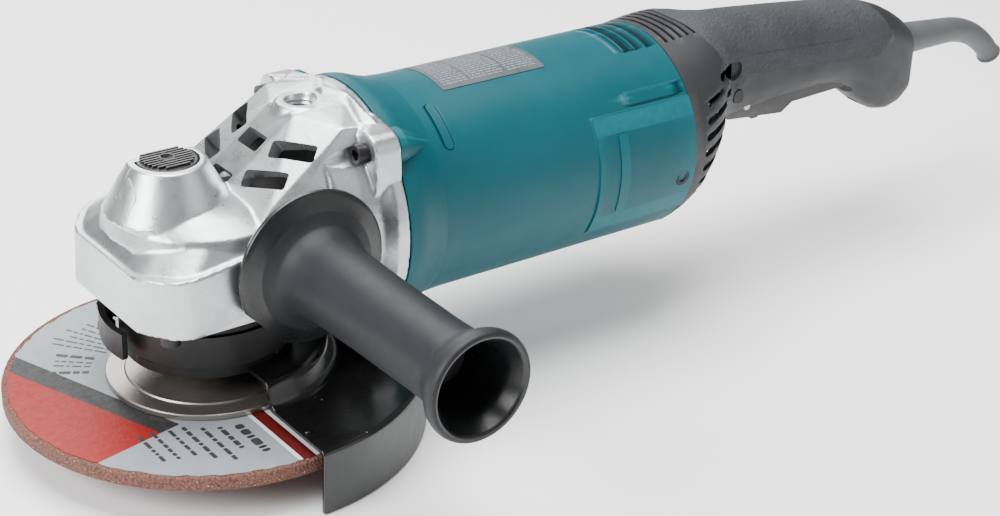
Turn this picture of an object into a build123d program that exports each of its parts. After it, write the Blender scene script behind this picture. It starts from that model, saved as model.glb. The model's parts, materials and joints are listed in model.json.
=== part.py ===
from build123d import *
from math import atan2, cos, degrees, pi, radians, sin, tan
import os

# Angle grinder for a 180 mm wheel. Millimetres, +Z up, +X to the rear, side handle on -Y.
# The origin is where the spindle's axis meets the wheel's working face.

# ---- Driving dimensions
WHEEL_R = 90.0
WHEEL_THICK = 6.0
BORE_R = 22.23 / 2
HUB_R = 33.0              # raised centre of the wheel
HUB_RISE = 4.3            # how far that centre stands above the working face
FLANGE_R = 45.0

AXIS_Z = 73.5             # motor axis, where it crosses the spindle's axis
GEAR_TEETH = 37
PINION_TEETH = 10
GEAR_PITCH_R = 27.0
TOOTH_SHARE = 0.36        # tooth width at the pitch line, as a share of the pitch
TOOTH_UP = 1.1            # tooth height above the pitch line
TOOTH_DOWN = 1.7          # tooth depth below it
FACE_SHARE = 0.714        # inner end of the teeth, as a share of the cone distance

BEARING_R = 20.0          # spindle bearing, 40 x 17 x 12
BEARING_LOW = 30.0
BEARING_HIGH = 42.0
SPINDLE_R = 8.5
JOURNAL_R = 5.0           # spindle's upper end, in the needle bearing
THREAD_R = 7.0            # M14

NECK_R = 34.0             # bearing box neck that the guard is clamped on
NECK_LOW = 22.0
HOUSING_LOW = 52.0        # lower edge of the gear housing
BOX_SCREW_AT = 36.0       # bearing box screws, from the spindle axis along X and Y

GUARD_R = 98.0
GUARD_WALL = 2.0
GUARD_TOP = 13.5
GUARD_LOW = -16.5
DOME_R = 52.0             # raised step of the guard round its collar
DOME_TOP = 24.5
COLLAR_TOP = 46.0
RUN = 0.05                # radial running clearance
CLAMP_AZIMUTH = 140.0     # where the guard's clamp is, round from +X
CLAMP_R = 42.3            # clamp screw, from the spindle axis
EYE_Y = 8.2               # the lever's pin, along the clamp screw

BARREL_R = 50.6
BARREL_WALL = 3.2
BARREL_FRONT = 70.0
BARREL_REAR = 238.7
RIM_R = 56.5              # flange where the barrel meets the gear housing
EAR_AT = 40.0             # housing screws, from the motor axis along Y and Z
HOLE_R = 6.0              # wall of the M14 side handle threads
SIDE_X = 23.0             # side handle axis
TOP_HOLE_X = 49.2
TOP_HOLE_Z = 125.0
VENT_SLOPE = 38.0
VENT_SWEEP = 28.0

SHAFT_R = 6.0
CORE_R = 25.4
STATOR_R = 44.8
CORE_FRONT = 118.0
CORE_REAR = 178.0
BRUSH_X = 205.0
COVER_FRONT = 181.0       # brush covers run from here to the barrel's rear edge
COVER_SCREW = (231.5, 64.0)
LEDGE_X = 224.0           # the ledge that the covers' rear ends sit on
LEDGE_R = 46.2
COMMUTATOR_R = 16.0

LOCK_X = -15.8            # shaft lock pin, over the ring of holes in the gear
LOCK_HOLES = 12
BUTTON_FLAT = 5.2           # y of the flat side of the lock button
PIN_R = 2.2
PIN_LOW = 63.5
BUTTON_R = 13.2
BUTTON_TOP = 112.5

GRIP_FLANGE_Y = -50.0     # side handle: its flange, then its hollow end
GRIP_END_Y = -170.0

HANDLE_WALL = 3.0
TRIGGER_HALF = 10.8       # half width of the trigger
TRIGGER_PIVOT = (303.0, 74.0)
PLUNGER_X = 353.0
LOCK_LEVER_PIVOT = (322.0, 70.5)
CORD_Z = 81.0
SIDE_SCREW = (290.5, 84.0)    # handle screws: one across at (x, z), one upright at (x, seat z)
REAR_SCREW = (399.0, 60.0)

# Sections across the tool, each (x, width, lowest z, highest z, corner radius)
GEAR_HOUSING = [
    (-48.0, 62.0, HOUSING_LOW, 77.0, 10.0),
    (-37.0, 92.0, HOUSING_LOW, 83.0, 12.0),
    (0.0, 94.0, HOUSING_LOW, 93.0, 16.0),
    (30.0, 95.0, HOUSING_LOW, 116.0, 28.0),
    (44.0, 95.0, HOUSING_LOW, 124.0, 34.0),
    (58.0, 98.6, 26.0, 128.0, 46.0),
    (65.0, 108.0, 19.5, 129.0, 53.0),
    (BARREL_FRONT, 2 * RIM_R, AXIS_Z - RIM_R, AXIS_Z + RIM_R, RIM_R - 0.2),
]
AIR_CHAMBER = [
    (14.0, 44.0, 90.0, 97.0, 3.0),
    (30.0, 66.0, 92.0, 109.0, 8.0),
    (44.0, 74.0, 93.0, 118.0, 11.0),
    (BARREL_FRONT + 1, 86.0, 93.0, 122.0, 13.0),
]
TAIL_AND_HANDLE = [
    (BARREL_REAR, 2 * BARREL_R, AXIS_Z - BARREL_R, AXIS_Z + BARREL_R, BARREL_R - 0.3),
    (252.0, 97.0, 30.0, 124.5, 44.0),
    (265.0, 84.0, 49.0, 124.5, 34.0),
    (279.0, 52.0, 65.0, 123.0, 23.0),
    (300.0, 42.0, 67.0, 121.0, 19.0),
    (330.0, 40.0, 68.5, 118.0, 18.5),
    (360.0, 40.0, 69.5, 114.5, 18.5),
    (384.0, 39.0, 64.0, 111.0, 17.5),
    (400.0, 36.0, 52.0, 107.5, 16.5),
    (415.0, 32.0, 45.0, 101.0, 14.5),
    (428.0, 26.0, 49.0, 92.0, 11.5),
]


# ---- Helpers
def rod_z(radius, low, high, x=0.0, y=0.0):
    return Pos(x, y, (low + high) / 2) * Cylinder(radius, high - low)


def rod_x(radius, front, rear, y=0.0, z=AXIS_Z):
    return Pos((front + rear) / 2, y, z) * Rot(0, 90, 0) * Cylinder(radius, rear - front)


def rod_y(radius, near, far, x, z):
    return Pos(x, (near + far) / 2, z) * Rot(90, 0, 0) * Cylinder(radius, far - near)


def block(x, y, z):
    """A box from three (low, high) pairs."""
    middle = [sum(side) / 2 for side in (x, y, z)]
    return Pos(*middle) * Box(x[1] - x[0], y[1] - y[0], z[1] - z[0])


def turned_z(points):
    """The (radius, z) outline turned about the spindle axis."""
    return revolve(Plane.XZ * Polygon(*points, align=None), Axis.Z)


def turned_x(points):
    """The (x, radius) outline turned about the motor axis."""
    outline = Plane.XZ * Polygon(*points, align=None)
    return Pos(0, 0, AXIS_Z) * revolve(outline, Axis.X)


def polar_z(shape, count, start=0.0):
    return [Rot(0, 0, start + 360 * i / count) * shape for i in range(count)]


def polar_x(shape, count, start=0.0):
    """Copies of a shape about the motor axis."""
    turn = Pos(0, 0, AXIS_Z)
    back = Pos(0, 0, -AXIS_Z)
    return [turn * Rot(start + 360 * i / count, 0, 0) * back * shape for i in range(count)]


def lofted(sections, inset=0.0):
    """A ruled loft through rounded rectangles that stand across the tool."""
    faces = []
    for i, (x, width, low, high, corner) in enumerate(sections):
        if i == len(sections) - 1 and inset:
            x -= inset
        if i == 0 and inset:
            x -= 1
        outline = RectangleRounded(width - 2 * inset, high - low - 2 * inset, corner - inset)
        place = Plane(origin=(x, 0, (low + high) / 2), x_dir=(0, 1, 0), z_dir=(1, 0, 0))
        faces.append(place * outline)
    return loft(faces, ruled=True)


def slab_y(points, half_width):
    """An (x, z) outline made a slab about the middle plane."""
    face = Plane.XZ * Polygon(*points, align=None)
    return extrude(face, half_width, both=True)


def joined(shapes):
    return shapes[0] + list(shapes[1:])


def cap_screw(head_r, head_len, shaft_r, shaft_len):
    """Socket head screw along +Z, its head's seat at z = 0 and its shaft above."""
    head = Pos(0, 0, -head_len / 2) * Cylinder(head_r, head_len)
    socket = Pos(0, 0, -head_len) * extrude(RegularPolygon(head_r * 0.58, 6), head_len * 0.6)
    shaft = Pos(0, 0, shaft_len / 2 - 0.1) * Cylinder(shaft_r, shaft_len + 0.2)
    return head - socket + shaft


def save(name, *shapes):
    solids = [solid for shape in shapes for solid in shape.solids()]
    whole = solids[0] if len(solids) == 1 else Compound(children=solids)
    whole.label = name
    export_step(whole, f"parts/{name}.step")


# ---- Bevel gears
CONE_DISTANCE = (GEAR_PITCH_R**2 + (GEAR_PITCH_R * PINION_TEETH / GEAR_TEETH) ** 2) ** 0.5
GEAR_ANGLE = degrees(atan2(GEAR_TEETH, PINION_TEETH))


def cone_point(angle, share, height):
    """(radius, z) of a point on a bevel gear whose apex is the origin, teeth below it."""
    along = (sin(radians(angle)), -cos(radians(angle)))
    out = (cos(radians(angle)), sin(radians(angle)))
    return tuple(share * (CONE_DISTANCE * a + height * o) for a, o in zip(along, out))


def bevel_tooth(angle, share):
    """A tooth's outline, square to the pitch cone, at this share of the cone distance."""
    half = share * TOOTH_SHARE * pi * GEAR_PITCH_R / GEAR_TEETH
    flank = tan(radians(20))
    up = share * TOOTH_UP
    down = share * (TOOTH_DOWN + 0.25)
    radius, height = cone_point(angle, share, 0)
    outline = Polygon(
        (-half - down * flank, -down),
        (half + down * flank, -down),
        (half - up * flank, up),
        (-half + up * flank, up),
        align=None,
    )
    along = (sin(radians(angle)), 0, -cos(radians(angle)))
    return Plane(origin=(radius, 0, height), x_dir=(0, 1, 0), z_dir=along) * outline


def bevel_teeth(count, angle, start):
    tooth = loft([bevel_tooth(angle, 1), bevel_tooth(angle, FACE_SHARE)])
    return polar_z(tooth, count, start)


def drive_gear():
    outer = cone_point(GEAR_ANGLE, 1.02, -TOOTH_DOWN)
    inner = cone_point(GEAR_ANGLE, FACE_SHARE - 0.01, -TOOTH_DOWN)
    web_top = 62.0 - AXIS_Z
    web_low = 58.2 - AXIS_Z
    hub_top = 66.0 - AXIS_Z
    body = turned_z([
        (8.0, web_low), (outer[0] - 1, web_low), outer, inner,
        (18.7, web_top), (12.0, web_top), (12.0, hub_top), (8.0, hub_top),
    ])
    gear = joined([body] + bevel_teeth(GEAR_TEETH, GEAR_ANGLE, 0))
    hole = Pos(-LOCK_X, 0, web_top) * Cylinder(PIN_R + 0.4, 12)
    return Pos(0, 0, AXIS_Z) * (gear - polar_z(hole, LOCK_HOLES))


def pinion():
    angle = 90 - GEAR_ANGLE
    outer = cone_point(angle, 1.02, -TOOTH_DOWN)
    inner = cone_point(angle, FACE_SHARE - 0.01, -TOOTH_DOWN)
    body = turned_z([
        (0, inner[1]), inner, outer, (7.6, outer[1] - 2), (7.6, -44.8), (0, -44.8),
    ])
    half_pitch = 180 / PINION_TEETH      # a gap faces the gear at rest
    gear = joined([body] + bevel_teeth(PINION_TEETH, angle, half_pitch))
    bore = Pos(0, 0, -36) * Cylinder(3.6, 22)
    return Pos(0, 0, AXIS_Z) * Rot(0, -90, 0) * (gear - bore)


# ---- Spindle, wheel and what clamps it
def spindle():
    return turned_z([
        (0, 1.0), (THREAD_R - 1, 1.0), (THREAD_R, 2.0), (THREAD_R, 18.0), (SPINDLE_R, 18.0),
        (SPINDLE_R, 52.0), (8.0, 52.0), (8.0, 69.0), (JOURNAL_R, 69.0), (JOURNAL_R, 85.5),
        (JOURNAL_R - 1, 86.5), (0, 86.5),
    ])


def gear_circlip():
    ring = rod_z(11.0, 66.2, 67.4) - rod_z(8.02, 66, 68)
    return ring - block((0, 12), (-2, 2), (66, 68))


def inner_flange():
    under = HUB_RISE + 4.6
    return turned_z([
        (THREAD_R, 5.4), (BORE_R - 1.35, 5.4), (BORE_R - 1.35, under), (36.2, under),
        (37.5, WHEEL_THICK + 0.35), (FLANGE_R - 0.4, WHEEL_THICK + 0.35), (FLANGE_R, 7.0),
        (FLANGE_R, 9.0), (FLANGE_R - 0.4, 9.4), (36.4, 9.4), (36.0, 10.3), (16.0, 10.3),
        (14.0, 12.0), (14.0, 18.0), (THREAD_R, 18.0),
    ])


def lock_nut():
    low = 1.2
    nut = turned_z([
        (THREAD_R, low), (18.0, low), (20.0, low + 1), (20.0, HUB_RISE), (THREAD_R, HUB_RISE),
    ])
    return nut - polar_z(rod_z(2.0, low - 1, low + 2.2, x=15), 4, 45)


def grinding_wheel():
    thick = 4.5
    return turned_z([
        (BORE_R + 0.05, HUB_RISE), (HUB_R, HUB_RISE), (HUB_R + 5, 0), (WHEEL_R, 0),
        (WHEEL_R, WHEEL_THICK), (HUB_R + 4, WHEEL_THICK), (HUB_R + 2.4, HUB_RISE + thick),
        (BORE_R + 0.05, HUB_RISE + thick),
    ])


def wheel_bush():
    return rod_z(BORE_R + 0.05, HUB_RISE + 0.1, HUB_RISE + 4.5) - rod_z(BORE_R - 1.3, 0, 20)


def wheel_label():
    return rod_z(84.0, WHEEL_THICK, WHEEL_THICK + 0.3) - rod_z(HUB_R + 6, 0, 20)


# ---- Bearings
def ball_bearing(outer_r, bore_r, width):
    """Outer race, inner race and balls about Z, its middle at z = 0."""
    pitch_r = (outer_r + bore_r) / 2
    ball_r = (outer_r - bore_r) * 0.29
    groove = Torus(pitch_r, ball_r + 0.08)
    outer = Cylinder(outer_r, width) - Cylinder(pitch_r + ball_r * 0.55, width + 1) - groove
    inner = Cylinder(pitch_r - ball_r * 0.55, width) - Cylinder(bore_r, width + 1) - groove
    count = int(2 * pi * pitch_r / (ball_r * 2.7))
    balls = polar_z(Pos(pitch_r, 0, 0) * Sphere(ball_r), count)
    return outer, inner, balls


def needle_bearing():
    return rod_z(9.0, 72.5, 84.5) - rod_z(JOURNAL_R + RUN, 72, 85)


def bearing_retainer():
    return turned_z([
        (12.5, 25.8), (BEARING_R + 3.0, 25.8), (BEARING_R + 3.0, 28.0), (BEARING_R - 0.2, 28.0),
        (BEARING_R - 0.2, BEARING_LOW), (BEARING_R - 3.0, BEARING_LOW), (BEARING_R - 3.0, 28.0),
        (12.5, 28.0),
    ])


# ---- Gear head
def bearing_box():
    plate = extrude(RectangleRounded(85.6, 85.6, 11), 4.5)
    body = Pos(0, 0, HOUSING_LOW + 0.5) * plate + rod_z(NECK_R, NECK_LOW, HOUSING_LOW + 2)
    body = body - rod_z(BEARING_R, BEARING_LOW, BEARING_HIGH)
    body = body - rod_z(BEARING_R + 3.0, NECK_LOW - 1, BEARING_LOW - 2)
    body = body - rod_z(BEARING_R - 0.2, NECK_LOW - 1, BEARING_LOW + 1)
    body = body - rod_z(15.0, NECK_LOW, 60)
    return body - screw_places(rod_z(2.7, 50, 60))


def screw_places(shape):
    """The shape, modelled on the spindle axis, at the bearing box's four screws."""
    signs = [(a, b) for a in (-1, 1) for b in (-1, 1)]
    return [Pos(a * BOX_SCREW_AT, b * BOX_SCREW_AT, 0) * shape for a, b in signs]


def ear_places(shape):
    """The shape, modelled on the motor axis, at the housing's four long screws."""
    signs = [(a, b) for a in (-1, 1) for b in (-1, 1)]
    return [Pos(0, a * EAR_AT, b * EAR_AT) * shape for a, b in signs]


def gear_housing():
    body = lofted(GEAR_HOUSING)
    boss_flat = block((LOCK_X - 20, LOCK_X + 20), (BUTTON_FLAT + 3, 20), (96, 130))
    body = body + (rod_z(16.5, 80, BUTTON_TOP, x=LOCK_X) - boss_flat)
    body = body + ear_places(rod_x(7.5, 56, BARREL_FRONT))
    body = body - Pos(0, 0, HOUSING_LOW - 1) * extrude(RectangleRounded(86, 86, 11.2), 6)
    body = body - rod_z(31.5, 56, 71)
    body = body - rod_x(12.0, 12, 46)
    body = body - rod_x(13.5, 45, 64)
    body = body - rod_x(16.0, 46, 56.5)
    body = body - lofted(AIR_CHAMBER)
    body = body + (rod_z(11.5, 102, TOP_HOLE_Z + 1, x=TOP_HOLE_X) - block((0, 99), (-20, 20), (50, 101)))
    body = body - rod_z(HOLE_R, 106, 140, x=TOP_HOLE_X)
    fan_room = turned_x([(62, 0), (62, 34), (BARREL_FRONT + 1, 49), (BARREL_FRONT + 1, 0)])
    body = body - fan_room
    body = body - rod_z(9.0, 70, 84.5) - rod_z(JOURNAL_R + 1, 84, 88)
    body = body - rod_z(PIN_R + RUN, 66, 110, x=LOCK_X)
    pocket_flat = block((LOCK_X - 20, LOCK_X + 20), (BUTTON_FLAT + 0.3, 20), (90, 130))
    body = body - (rod_z(BUTTON_R + 0.3, 101.8, BUTTON_TOP + 1, x=LOCK_X) - pocket_flat)
    for side in (-1, 1):
        depth = sorted((side * 29.0, side * 60.0))
        body = body - rod_y(HOLE_R, *depth, x=SIDE_X, z=AXIS_Z)
    body = body - vents()
    body = body - screw_places(rod_z(2.5, 50, 68))
    body = body - ear_places(rod_x(2.8, 40, BARREL_FRONT + 1))
    return body - ear_places(rod_x(5.4, 44, 57))


def vents():
    """Exhaust slots through the sloping top: two rows, each one across and two swept back."""
    slope = Rot(0, -VENT_SLOPE, 0)
    slots = []
    for x, z, length in ((16.8, 90.4, 5.6), (32.6, 102.8, 8.2)):
        slots.append(Pos(x, 0, z) * slope * extrude(RectangleRounded(length, 16, 2), 40))
    for x, z in ((25.4, 97.2), (38.6, 107.5)):
        for side in (-1, 1):
            swept = Rot(0, 0, -side * VENT_SWEEP) * extrude(RectangleRounded(8.6, 20.5, 2.5), 40)
            slots.append(Pos(x, side * 22.3, z) * slope * swept)
    return slots


def lock_button():
    disc = rod_z(BUTTON_R, BUTTON_TOP - 4.5, BUTTON_TOP + 0.6, x=LOCK_X)
    flat = block((LOCK_X - 30, LOCK_X + 30), (BUTTON_FLAT, 20), (90, 130))
    ribs = [block((LOCK_X - 9, LOCK_X + 9), (y - 0.6, y + 0.6), (112, 113.7)) for y in (-8, -4, 0)]
    return joined([disc - flat] + ribs) - rod_z(PIN_R, 100, 110, x=LOCK_X)


def lock_pin():
    return rod_z(PIN_R, PIN_LOW, 110, x=LOCK_X)


def lock_spring():
    return rod_z(5.0, 101.8, 107.9, x=LOCK_X) - rod_z(3.6, 100, 110, x=LOCK_X)


# ---- Wheel guard
def wheel_guard():
    cover = turned_guard_half([
        (NECK_R + RUN, DOME_TOP), (NECK_R + RUN, DOME_TOP - GUARD_WALL),
        (DOME_R - 1, DOME_TOP - GUARD_WALL), (DOME_R + 3, GUARD_TOP - GUARD_WALL),
        (GUARD_R - GUARD_WALL, GUARD_TOP - GUARD_WALL), (GUARD_R - GUARD_WALL, GUARD_LOW),
        (GUARD_R, GUARD_LOW), (GUARD_R, GUARD_TOP - 2), (GUARD_R - 2, GUARD_TOP),
        (DOME_R + 4.5, GUARD_TOP), (DOME_R + 0.5, DOME_TOP),
    ])
    collar = rod_z(NECK_R + 2.4, DOME_TOP - 1, COLLAR_TOP) - rod_z(NECK_R + RUN, 20, 60)
    return cover + collar


def turned_guard_half(points):
    """The (radius, z) outline turned through the rear half circle."""
    outline = Rot(0, 0, -90) * (Plane.XZ * Polygon(*points, align=None))
    return revolve(outline, Axis.Z, 180)


def at_clamp(shape):
    """Turns a shape made on the +X side to the clamp's place on the collar."""
    return Rot(0, 0, CLAMP_AZIMUTH) * shape


def guard_clamp_band():
    outer = NECK_R + 4.0
    band = rod_z(outer, 28, 43) - rod_z(NECK_R + 2.4, 20, 60)
    band = band - block((30, 45), (-2.5, 2.5), (20, 60))
    ears = [block((outer - 1.2, 45.5), sides, (33, 38)) for sides in ((2.5, 5), (-5, -2.5))]
    body = joined([band] + ears)
    return at_clamp(body - rod_y(1.75, -9, 9, x=CLAMP_R, z=35.5))


def guard_clamp_screw():
    shank = rod_y(1.6, -5.4, 5.8, x=CLAMP_R, z=35.5)
    nut = rod_y(3.0, -7.6, -5.1, x=CLAMP_R, z=35.5)
    eye = rod_z(2.9, 32.6, 38.4, x=CLAMP_R, y=EYE_Y) - rod_z(1.6, 30, 40, x=CLAMP_R, y=EYE_Y)
    return at_clamp(joined([shank, nut, eye]) - rod_z(1.6, 30, 40, x=CLAMP_R, y=EYE_Y))


def collar_sector(start, end, low, high):
    """Part of the lever's arc, between two angles from the clamp."""
    arc = rod_z(46.5, low, high) - rod_z(43.6, low - 1, high + 1)
    wedge = Polygon((0, 0), polar_point(90, start), polar_point(90, end), align=None)
    return arc & (Pos(0, 0, low - 1) * extrude(wedge, high - low + 2))


def polar_point(radius, angle):
    return radius * cos(radians(angle)), radius * sin(radians(angle))


def guard_lever():
    """Cam lever lying along the collar, its pin in the clamp screw's eye."""
    pin = rod_z(1.55, 29.4, 41.6, x=CLAMP_R, y=EYE_Y)
    pieces = [pin, collar_sector(18, 52, 29.4, 41.6)]
    for low, high in ((29.4, 32.0), (39.0, 41.6)):
        pieces.append(rod_z(4.0, low, high, x=CLAMP_R, y=EYE_Y))
        pieces.append(collar_sector(10, 19, low, high))
    return at_clamp(joined(pieces))


# ---- Motor
def motor_housing():
    outer = [
        (BARREL_FRONT, RIM_R), (78, RIM_R), (84, 54), (92, 51.6), (102, BARREL_R),
        (BARREL_REAR, BARREL_R),
    ]
    inner_r = BARREL_R - BARREL_WALL
    inner = [(BARREL_REAR, inner_r), (BARREL_FRONT, inner_r)]
    body = turned_x(outer + inner)
    body = body + ear_places(rod_x(7.5, BARREL_FRONT, 84))
    body = body - ear_places(rod_x(2.5, 60, 82))
    web = rod_x(inner_r + 0.5, 219.5, 231) - rod_x(11.0, 219, 229.6) - rod_x(7, 219, 240)
    spokes = web & joined([block((200, 240), (-9, 9), (0, 150)), rod_x(15, 200, 240)])
    ledge = rod_x(inner_r + 0.5, LEDGE_X, BARREL_REAR) - rod_x(LEDGE_R - 3, 220, 250)
    body = body + spokes + ledge
    for side in (-1, 1):
        window = cover_window(side, 0.25)
        body = body - (window & block((170, LEDGE_X - 2), (-70, 70), (0, 150)))
        body = body - (window - rod_x(LEDGE_R, 170, 250))
        body = body - rod_y(1.9, *sorted((side * 38.0, side * 50.0)), *COVER_SCREW)
    return body


def cover_window(side, gap):
    """The slab that cuts a brush cover from the barrel."""
    half = 30.0 + gap
    y = sorted((side * (30.0 - gap), side * 60.0))
    return block((COVER_FRONT - gap, BARREL_REAR + 1), y, (AXIS_Z - half, AXIS_Z + half))


def brush_cover(side):
    shell = rod_x(BARREL_R + 0.5, COVER_FRONT, BARREL_REAR - 0.2) - rod_x(LEDGE_R + 0.1, 170, 250)
    cover = shell & cover_window(side, 0)
    cover = cover - rod_y(4.0, *sorted((side * 48.2, side * 60.0)), *COVER_SCREW)
    return cover - rod_y(2.1, *sorted((side * 30.0, side * 60.0)), *COVER_SCREW)


def brush_cover_screws():
    screws = []
    for side in (-1, 1):
        screw = Rot(90 * side, 0, 0) * cap_screw(3.6, 1.8, 1.85, 8)
        screws.append(Pos(COVER_SCREW[0], side * 48.2, COVER_SCREW[1]) * screw)
    return screws


def baffle_plate():
    return rod_x(BARREL_R - BARREL_WALL, 101, 103) - rod_x(30, 100, 110)


def stator_core():
    core = rod_x(STATOR_R, CORE_FRONT, CORE_REAR) - rod_x(CORE_R + 0.6, 100, 200)
    for side in (-1, 1):
        slot = block((100, 200), sorted((side * 24.0, side * 36.0)), (AXIS_Z - 17, AXIS_Z + 17))
        core = core - slot
    return core


def stator_coils():
    """Two field coils: straight sides in the core's slots, end turns outside it."""
    coils = []
    for side in (-1, 1):
        across = sorted((side * 27.5, side * 35.0))
        outer = block((CORE_FRONT - 9, CORE_REAR + 9), across, (AXIS_Z - 16, AXIS_Z + 16))
        hole = block((CORE_FRONT - 1, CORE_REAR + 1), (-60, 60), (AXIS_Z - 7, AXIS_Z + 7))
        coils.append(outer - hole)
    return coils


def armature_shaft():
    return turned_x([
        (25.6, 0), (25.6, 3.5), (44.9, 3.5), (44.9, SHAFT_R), (220.5, SHAFT_R), (220.5, 4),
        (230, 4), (230, 0),
    ])


def armature_core():
    core = rod_x(CORE_R, CORE_FRONT + 1, CORE_REAR - 1) - rod_x(SHAFT_R, 100, 200)
    slot = block((100, 200), (-1.1, 1.1), (AXIS_Z + 19, AXIS_Z + 27))
    return core - polar_x(slot, 12)


def armature_windings():
    front = turned_x([(108, 11), (108, 19), (112, 23), (118.9, 23), (118.9, 11)])
    rear = turned_x([(177.1, 11), (177.1, 23), (184, 23), (188, 18), (188, 11)])
    sleeve = [rod_x(11, front_x, front_x + 14) - rod_x(SHAFT_R, 100, 200) for front_x in (104.9, 177.1)]
    return [front + sleeve[0], rear + sleeve[1]]


def commutator():
    drum = rod_x(COMMUTATOR_R, 196, 214) - rod_x(SHAFT_R, 180, 230)
    groove = block((195, 215), (-0.4, 0.4), (AXIS_Z + 13.5, AXIS_Z + 17))
    return drum - polar_x(groove, 24)


def cooling_fan():
    hub = rod_x(14, 80, 97) - rod_x(SHAFT_R, 70, 110)
    disc = rod_x(43, 80, 82.5) - rod_x(13, 70, 110)
    blade = block((82, 96), (-1.0, 1.0), (AXIS_Z + 22, AXIS_Z + 42.5))
    return joined([hub, disc] + polar_x(blade, 14))


def brush_sides(shape):
    """A shape on the near side of the commutator, and its copy on the far side."""
    return [shape, mirror(shape, Plane.XZ)]


def brush_holders():
    tube = block((199.5, 210.5), (18.5, 40), (AXIS_Z - 6.5, AXIS_Z + 6.5))
    hole = block((201, 209), (10, 50), (AXIS_Z - 5, AXIS_Z + 5))
    foot = block((196, 214), (38, 42), (AXIS_Z - 12, AXIS_Z + 12))
    return brush_sides(tube + foot - hole)


def carbon_brushes():
    brush = block((201.2, 208.8), (12, 31), (AXIS_Z - 4.8, AXIS_Z + 4.8))
    return brush_sides(brush - rod_x(COMMUTATOR_R + 0.1, 190, 220))


def brush_springs():
    coil = rod_y(3.6, 31.1, 41.9, x=BRUSH_X, z=AXIS_Z) - rod_y(2.6, 30, 45, x=BRUSH_X, z=AXIS_Z)
    return brush_sides(coil)


def rating_label():
    shell = rod_x(BARREL_R + 0.35, 114, 171.5) - rod_x(BARREL_R, 110, 180)
    return shell & block((110, 180), (-16.5, 16.5), (100, 140))


# ---- Tail cover and handle, cut from one outer form along their seams
COVER_SIDE = [
    (230, 0), (230, 140), (256, 140), (259, 127), (274, 102), (283.5, 90), (279.5, 78),
    (279.5, 0),
]
UPPER_SIDE = [
    (256, 140), (259, 127), (274, 102), (283.5, 90), (290, 88), (299, 93.5), (396, 83.5),
    (405, 92.5), (401, 103.5), (392, 112), (388, 140),
]


def shell_form():
    outer = lofted(TAIL_AND_HANDLE)
    post = rod_z(4.6, REAR_SCREW[1], 102, x=REAR_SCREW[0])
    return outer - lofted(TAIL_AND_HANDLE, HANDLE_WALL) + (post & outer)


def tail_cover():
    cover = shell_form() & slab_y(COVER_SIDE, 70)
    slot = block((246, 290), (-60, 60), (-1.7, 1.7))
    tilt = Pos(246, 0, 0) * Rot(0, 14, 0) * Pos(-246, 0, 0)
    return cover - [Pos(0, 0, 36.0 + 8.5 * i) * tilt * slot for i in range(7)]


def handle_upper():
    shell = (shell_form() & slab_y(UPPER_SIDE, 70)) - grip_overmould()
    return shell - rod_z(1.9, 50, 98, x=REAR_SCREW[0])


def grip_overmould():
    """The soft skin let into the handle's upper shell."""
    skin = lofted(TAIL_AND_HANDLE) - lofted(TAIL_AND_HANDLE, 1.4)
    outline = [(272, 140), (272, 116), (300, 104), (372, 98), (379, 106), (381, 140)]
    return skin & slab_y(outline, 70)


def handle_lower():
    body = shell_form() - slab_y(COVER_SIDE, 70) - slab_y(UPPER_SIDE, 70)
    body = body - block((288, 387), (-TRIGGER_HALF - 0.5, TRIGGER_HALF + 0.5), (40, 80))
    body = body - rod_x(7.2, 415, 435, z=CORD_Z)
    for side in (-1, 1):
        wide = sorted((side * (TRIGGER_HALF + 0.6), side * 18.5))
        lug = block((TRIGGER_PIVOT[0] - 5, TRIGGER_PIVOT[0] + 5), wide, (70, 80))
        body = body + (lug & lofted(TAIL_AND_HANDLE, 1))
    body = body - rod_y(2.0, -17.0, 17.0, *TRIGGER_PIVOT)
    body = body - rod_z(1.9, 50, 98, x=REAR_SCREW[0]) - rod_z(3.8, 40, REAR_SCREW[1], x=REAR_SCREW[0])
    return body - rod_y(1.95, -40, 22.2, *SIDE_SCREW) - rod_y(3.7, -40, -21.4, *SIDE_SCREW)


def handle_screws():
    side = rod_y(1.9, -21.5, 22, *SIDE_SCREW) + rod_y(3.5, -23.2, -21.4, *SIDE_SCREW)
    x, seat = REAR_SCREW
    rear = rod_z(1.85, seat - 0.1, 97, x=x) + rod_z(3.5, seat - 2.4, seat, x=x)
    return [side, rear]


def trigger_pin():
    return rod_y(1.95, -16.8, 16.8, *TRIGGER_PIVOT)


def trigger_lever():
    outline = [
        (291, 73), (296, 66), (334, 62), (341, 66.5), (378, 67.5), (385, 70), (385, 76),
        (312, 79), (300, 80),
    ]
    body = slab_y(outline, TRIGGER_HALF)
    hollow = [(308, 70), (334, 66), (341, 70.5), (378, 71.5), (378, 90), (308, 90)]
    body = body - slab_y(hollow, TRIGGER_HALF - 2.5)
    body = body + block((347, 359), (-TRIGGER_HALF, TRIGGER_HALF), (69, 74.5))
    body = body - block((312, 332), (-4.2, 4.2), (50, 80))
    body = body - rod_y(2.0, -20, 20, *TRIGGER_PIVOT)
    return body - rod_y(1.4, -9, 9, *LOCK_LEVER_PIVOT)


def lock_lever():
    x, z = LOCK_LEVER_PIVOT
    axle = rod_y(1.35, -8.9, 8.9, x, z)
    arm = slab_y([(x - 2.2, z + 3), (x - 2.2, z - 11.5), (x + 2.2, z - 11.5), (x + 3.4, z + 3)], 3.8)
    return axle + arm


def trigger_spring():
    return rod_z(4.2, 72.0, 84.9, x=371) - rod_z(3.2, 60, 90, x=371)


def switch_unit():
    body = block((330, 378), (-9, 9), (85, 106))
    return body - rod_z(2.5 + RUN, 80, 96, x=PLUNGER_X)


def switch_plunger():
    return rod_z(2.5, 75.0, 90.0, x=PLUNGER_X)


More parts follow.
